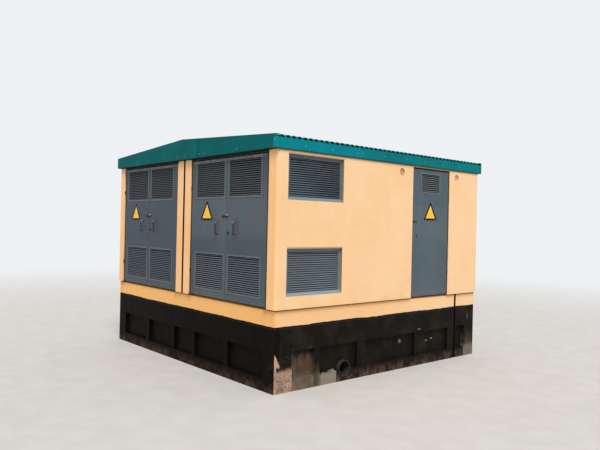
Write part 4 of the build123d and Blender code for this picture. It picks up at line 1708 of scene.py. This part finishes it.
@dataclass
class Gaskets:
    """Rubber bead round each doorway, on the frame behind the leaf's edge."""

    shop: Workshop
    radii: Span = (0.002, 0.01)
    sides: int = 6
    levels: Span = (1.24, 3.181)
    fronts: tuple[Span, ...] = ((0.240, 2.180), (-2.180, -0.240))
    front_at: float = -2.2405
    side: Span = (0.496, 1.411)
    side_at: float = 2.3405

    def arch(self, low: float, high: float) -> list[Span]:
        """Up one jamb, across the head and down the other, as (across, up)."""
        foot, head = self.levels
        return [(low, foot), (low, head), (high, head), (high, foot)]

    def build(self) -> None:
        """Builds the beads of all four doorways as one piece."""
        paths = [[(x, self.front_at, z) for x, z in self.arch(*span)] for span in self.fronts]
        paths += [[(side * self.side_at, y, z) for y, z in self.arch(*self.side)] for side in (1, -1)]
        self.shop.beads("door_gaskets", paths, self.radii, self.sides, "filler", "station", "joint_filler")


@dataclass
class PivotShoes:
    """Small black pivot shoes on the sill under each hinge edge."""

    shop: Workshop
    starts: tuple[float, ...] = (0.213, 2.157, -2.207, -0.263)
    width: float = 0.050
    depth: Span = (-2.314, -2.256)
    levels: Span = (1.11, 1.125)
    side: Span = (1.392, 1.434)
    side_depth: Span = (2.358, 2.388)
    cut: float = 0.003

    def build(self) -> None:
        """Builds all shoes as one piece."""
        shape = Shape()
        (low, high), (out, back) = self.levels, self.depth
        for x in self.starts:
            shape.chamfered((x, out, low), (x + self.width, back, high), self.cut)
        (start, end), (inner, outer) = self.side, self.side_depth
        for side in (1, -1):
            near, far = sorted((side * inner, side * outer))
            shape.chamfered((near, start, low), (far, end, high), self.cut)
        self.shop.solid("door_feet", shape, ["iron"], "station", "door_fittings")


@dataclass
class Doors:
    """Front double doors and side doors: leaves, frames and what is fixed on them."""

    shop: Workshop
    plates: tuple[tuple[str, str, Point, Point], ...] = (
        ("east_left_plate", "east_left_door", (0.68, LEAF_FACE, 2.28), (0, -1, 0)),
        ("west_left_plate", "west_left_door", (-1.73, LEAF_FACE, 2.27), (0, -1, 0)),
        ("side_plate", "side_door", (SIDE_FACE, 0.94, 2.365), (1, 0, 0)),
        ("west_side_plate", "station", (-SIDE_FACE, 0.94, 2.365), (-1, 0, 0)))

    def dress(self) -> None:
        """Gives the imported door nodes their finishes."""
        for module in MODULE_SHIFTS:
            self.shop.finishes.dress("frame", module + "_front_frame", module + "_side_frame")
            for part in ("front_left", "front_right", "side"):
                self.shop.finishes.dress("leaf", f"{module}_{part}_leaf")
                self.shop.finishes.dress("fitting", f"{module}_{part}_handle")

    def build(self) -> None:
        """Adds plates, catches, louvre stops, gaskets and shoes."""
        for plate in self.plates:
            DoorPlate(self.shop).build(*plate)
        for fixing in (Catches, LouvreStops, Gaskets, PivotShoes):
            fixing(self.shop).build()


# Studio

@dataclass
class Studio:
    """Pale floor and soft light, with the camera at the photograph's viewing angle."""

    eye: Point = (8.559, -7.193, 2.2245)
    yaw: float = 49.328
    pitch: float = 0.083
    roll: float = 1.282
    focal_pixels: float = 604.06
    frame_width: float = 600.0
    sensor: float = 36.0
    backdrop: Colour = (0.86, 0.88, 0.90)
    floor_tones: tuple[Colour, Colour] = ((0.505, 0.490, 0.470), (0.54, 0.525, 0.505))
    floor_rings: tuple[float, ...] = (220.0, 30.0, 0.5)
    floor_sides: int = 64
    sky: Colour = (0.93, 0.96, 1.0)
    sky_strength: float = 0.62
    sun: Colour = (1.0, 0.97, 0.93)
    sun_strength: float = 3.0
    sun_spread: float = 24.0
    sun_from: Point = (0.46, -0.31, 0.83)

    def build(self) -> None:
        """Builds the stage, the lights and the camera."""
        self.floor()
        self.lights()
        self.camera()
        bpy.context.scene.view_settings.view_transform = "Standard"

    def floor(self) -> None:
        """A wide pale floor that fades into the backdrop far from the object."""
        g = Graph("stage_floor")
        away = g.vectors("LENGTH", g.vectors("MULTIPLY", g.place, (1.0, 1.0, 0.0)), outlet="Value")
        near = g.node("ShaderNodeBsdfPrincipled", None, {
            "Base Color": g.blend(g.noise(3.0, 3.0).rise(0.3, 0.7), *self.floor_tones),
            "Roughness": 0.9, "Specular IOR Level": 0.2})
        shown = g.node("ShaderNodeEmission", None, {"Color": (*self.backdrop, 1.0), "Strength": 1.0})
        mixed = g.node("ShaderNodeMixShader", None, {0: away.rise(6.5, 22.0), 1: near, 2: shown})
        g.node("ShaderNodeOutputMaterial", None, {"Surface": mixed})
        angles = [math.tau * i / self.floor_sides for i in range(self.floor_sides)]
        shape = Shape()
        shape.rings([[Vector((math.cos(a) * r, math.sin(a) * r, 0.0)) for a in angles]
                     for r in self.floor_rings], ends=False)
        shape.face(range(len(shape.points) - self.floor_sides, len(shape.points)))
        floor = shape.build("stage_floor", [g.material])
        if floor.data.polygons[0].normal.z < 0:
            floor.data.flip_normals()

    def lights(self) -> None:
        """A broad sky, which the camera sees as the backdrop, and a large soft sun from the right."""
        world = bpy.context.scene.world = bpy.data.worlds.new("soft_sky")
        world.use_nodes = True
        w = Nodes(world.node_tree)
        sky, seen = (w.node("ShaderNodeBackground", None, {"Color": (*colour, 1.0), "Strength": strength})
                     for colour, strength in ((self.sky, self.sky_strength), (self.backdrop, 1.0)))
        rays = [w.node("ShaderNodeLightPath", outlet=ray) for ray in ("Is Camera Ray", "Is Transmission Ray")]
        mixed = w.node("ShaderNodeMixShader", None, {0: w.greatest(*rays), 1: sky, 2: seen})
        w.node("ShaderNodeOutputWorld", None, {"Surface": mixed})
        sun = bpy.data.lights.new("soft_sun", "SUN")
        sun.energy = self.sun_strength
        sun.color = self.sun
        sun.angle = math.radians(self.sun_spread)
        placed("soft_sun", sun).rotation_euler = Vector(self.sun_from).to_track_quat("Z", "Y").to_euler()

    def camera(self) -> None:
        """Camera solved from both visible faces, for a frame 600 wide and 450 high."""
        yaw, pitch, roll = (math.radians(a) for a in (self.yaw, self.pitch, self.roll))
        ahead = Vector((-math.sin(yaw) * math.cos(pitch), math.cos(yaw) * math.cos(pitch), math.sin(pitch)))
        level = Vector((math.cos(yaw), math.sin(yaw), 0.0))
        above = level.cross(ahead)
        right = level * math.cos(roll) + above * math.sin(roll)
        up = above * math.cos(roll) - level * math.sin(roll)
        data = bpy.data.cameras.new("viewpoint")
        data.sensor_fit = "HORIZONTAL"
        data.sensor_width = self.sensor
        data.lens = self.focal_pixels / self.frame_width * self.sensor
        data.clip_end = 500.0
        holder = placed("viewpoint", data)
        axes = Matrix((right, up, -ahead)).transposed().to_4x4()
        holder.matrix_world = Matrix.Translation(Vector(self.eye)) @ axes
        bpy.context.scene.camera = holder


def main() -> None:
    """Builds the finishes, every sub-assembly and the studio."""
    logging.basicConfig(level=logging.INFO, format="%(name)s: %(message)s")
    finishes = Finishes()
    finishes.build()
    shop = Workshop(finishes, HeadRows(), Beads())
    for assembly in (Shells(shop), Base(shop), Roof(shop), Doors(shop)):
        assembly.dress()
        assembly.build()
        log.info("%s done", type(assembly).__name__)
    Studio().build()


if __name__ == "__main__":
    main()
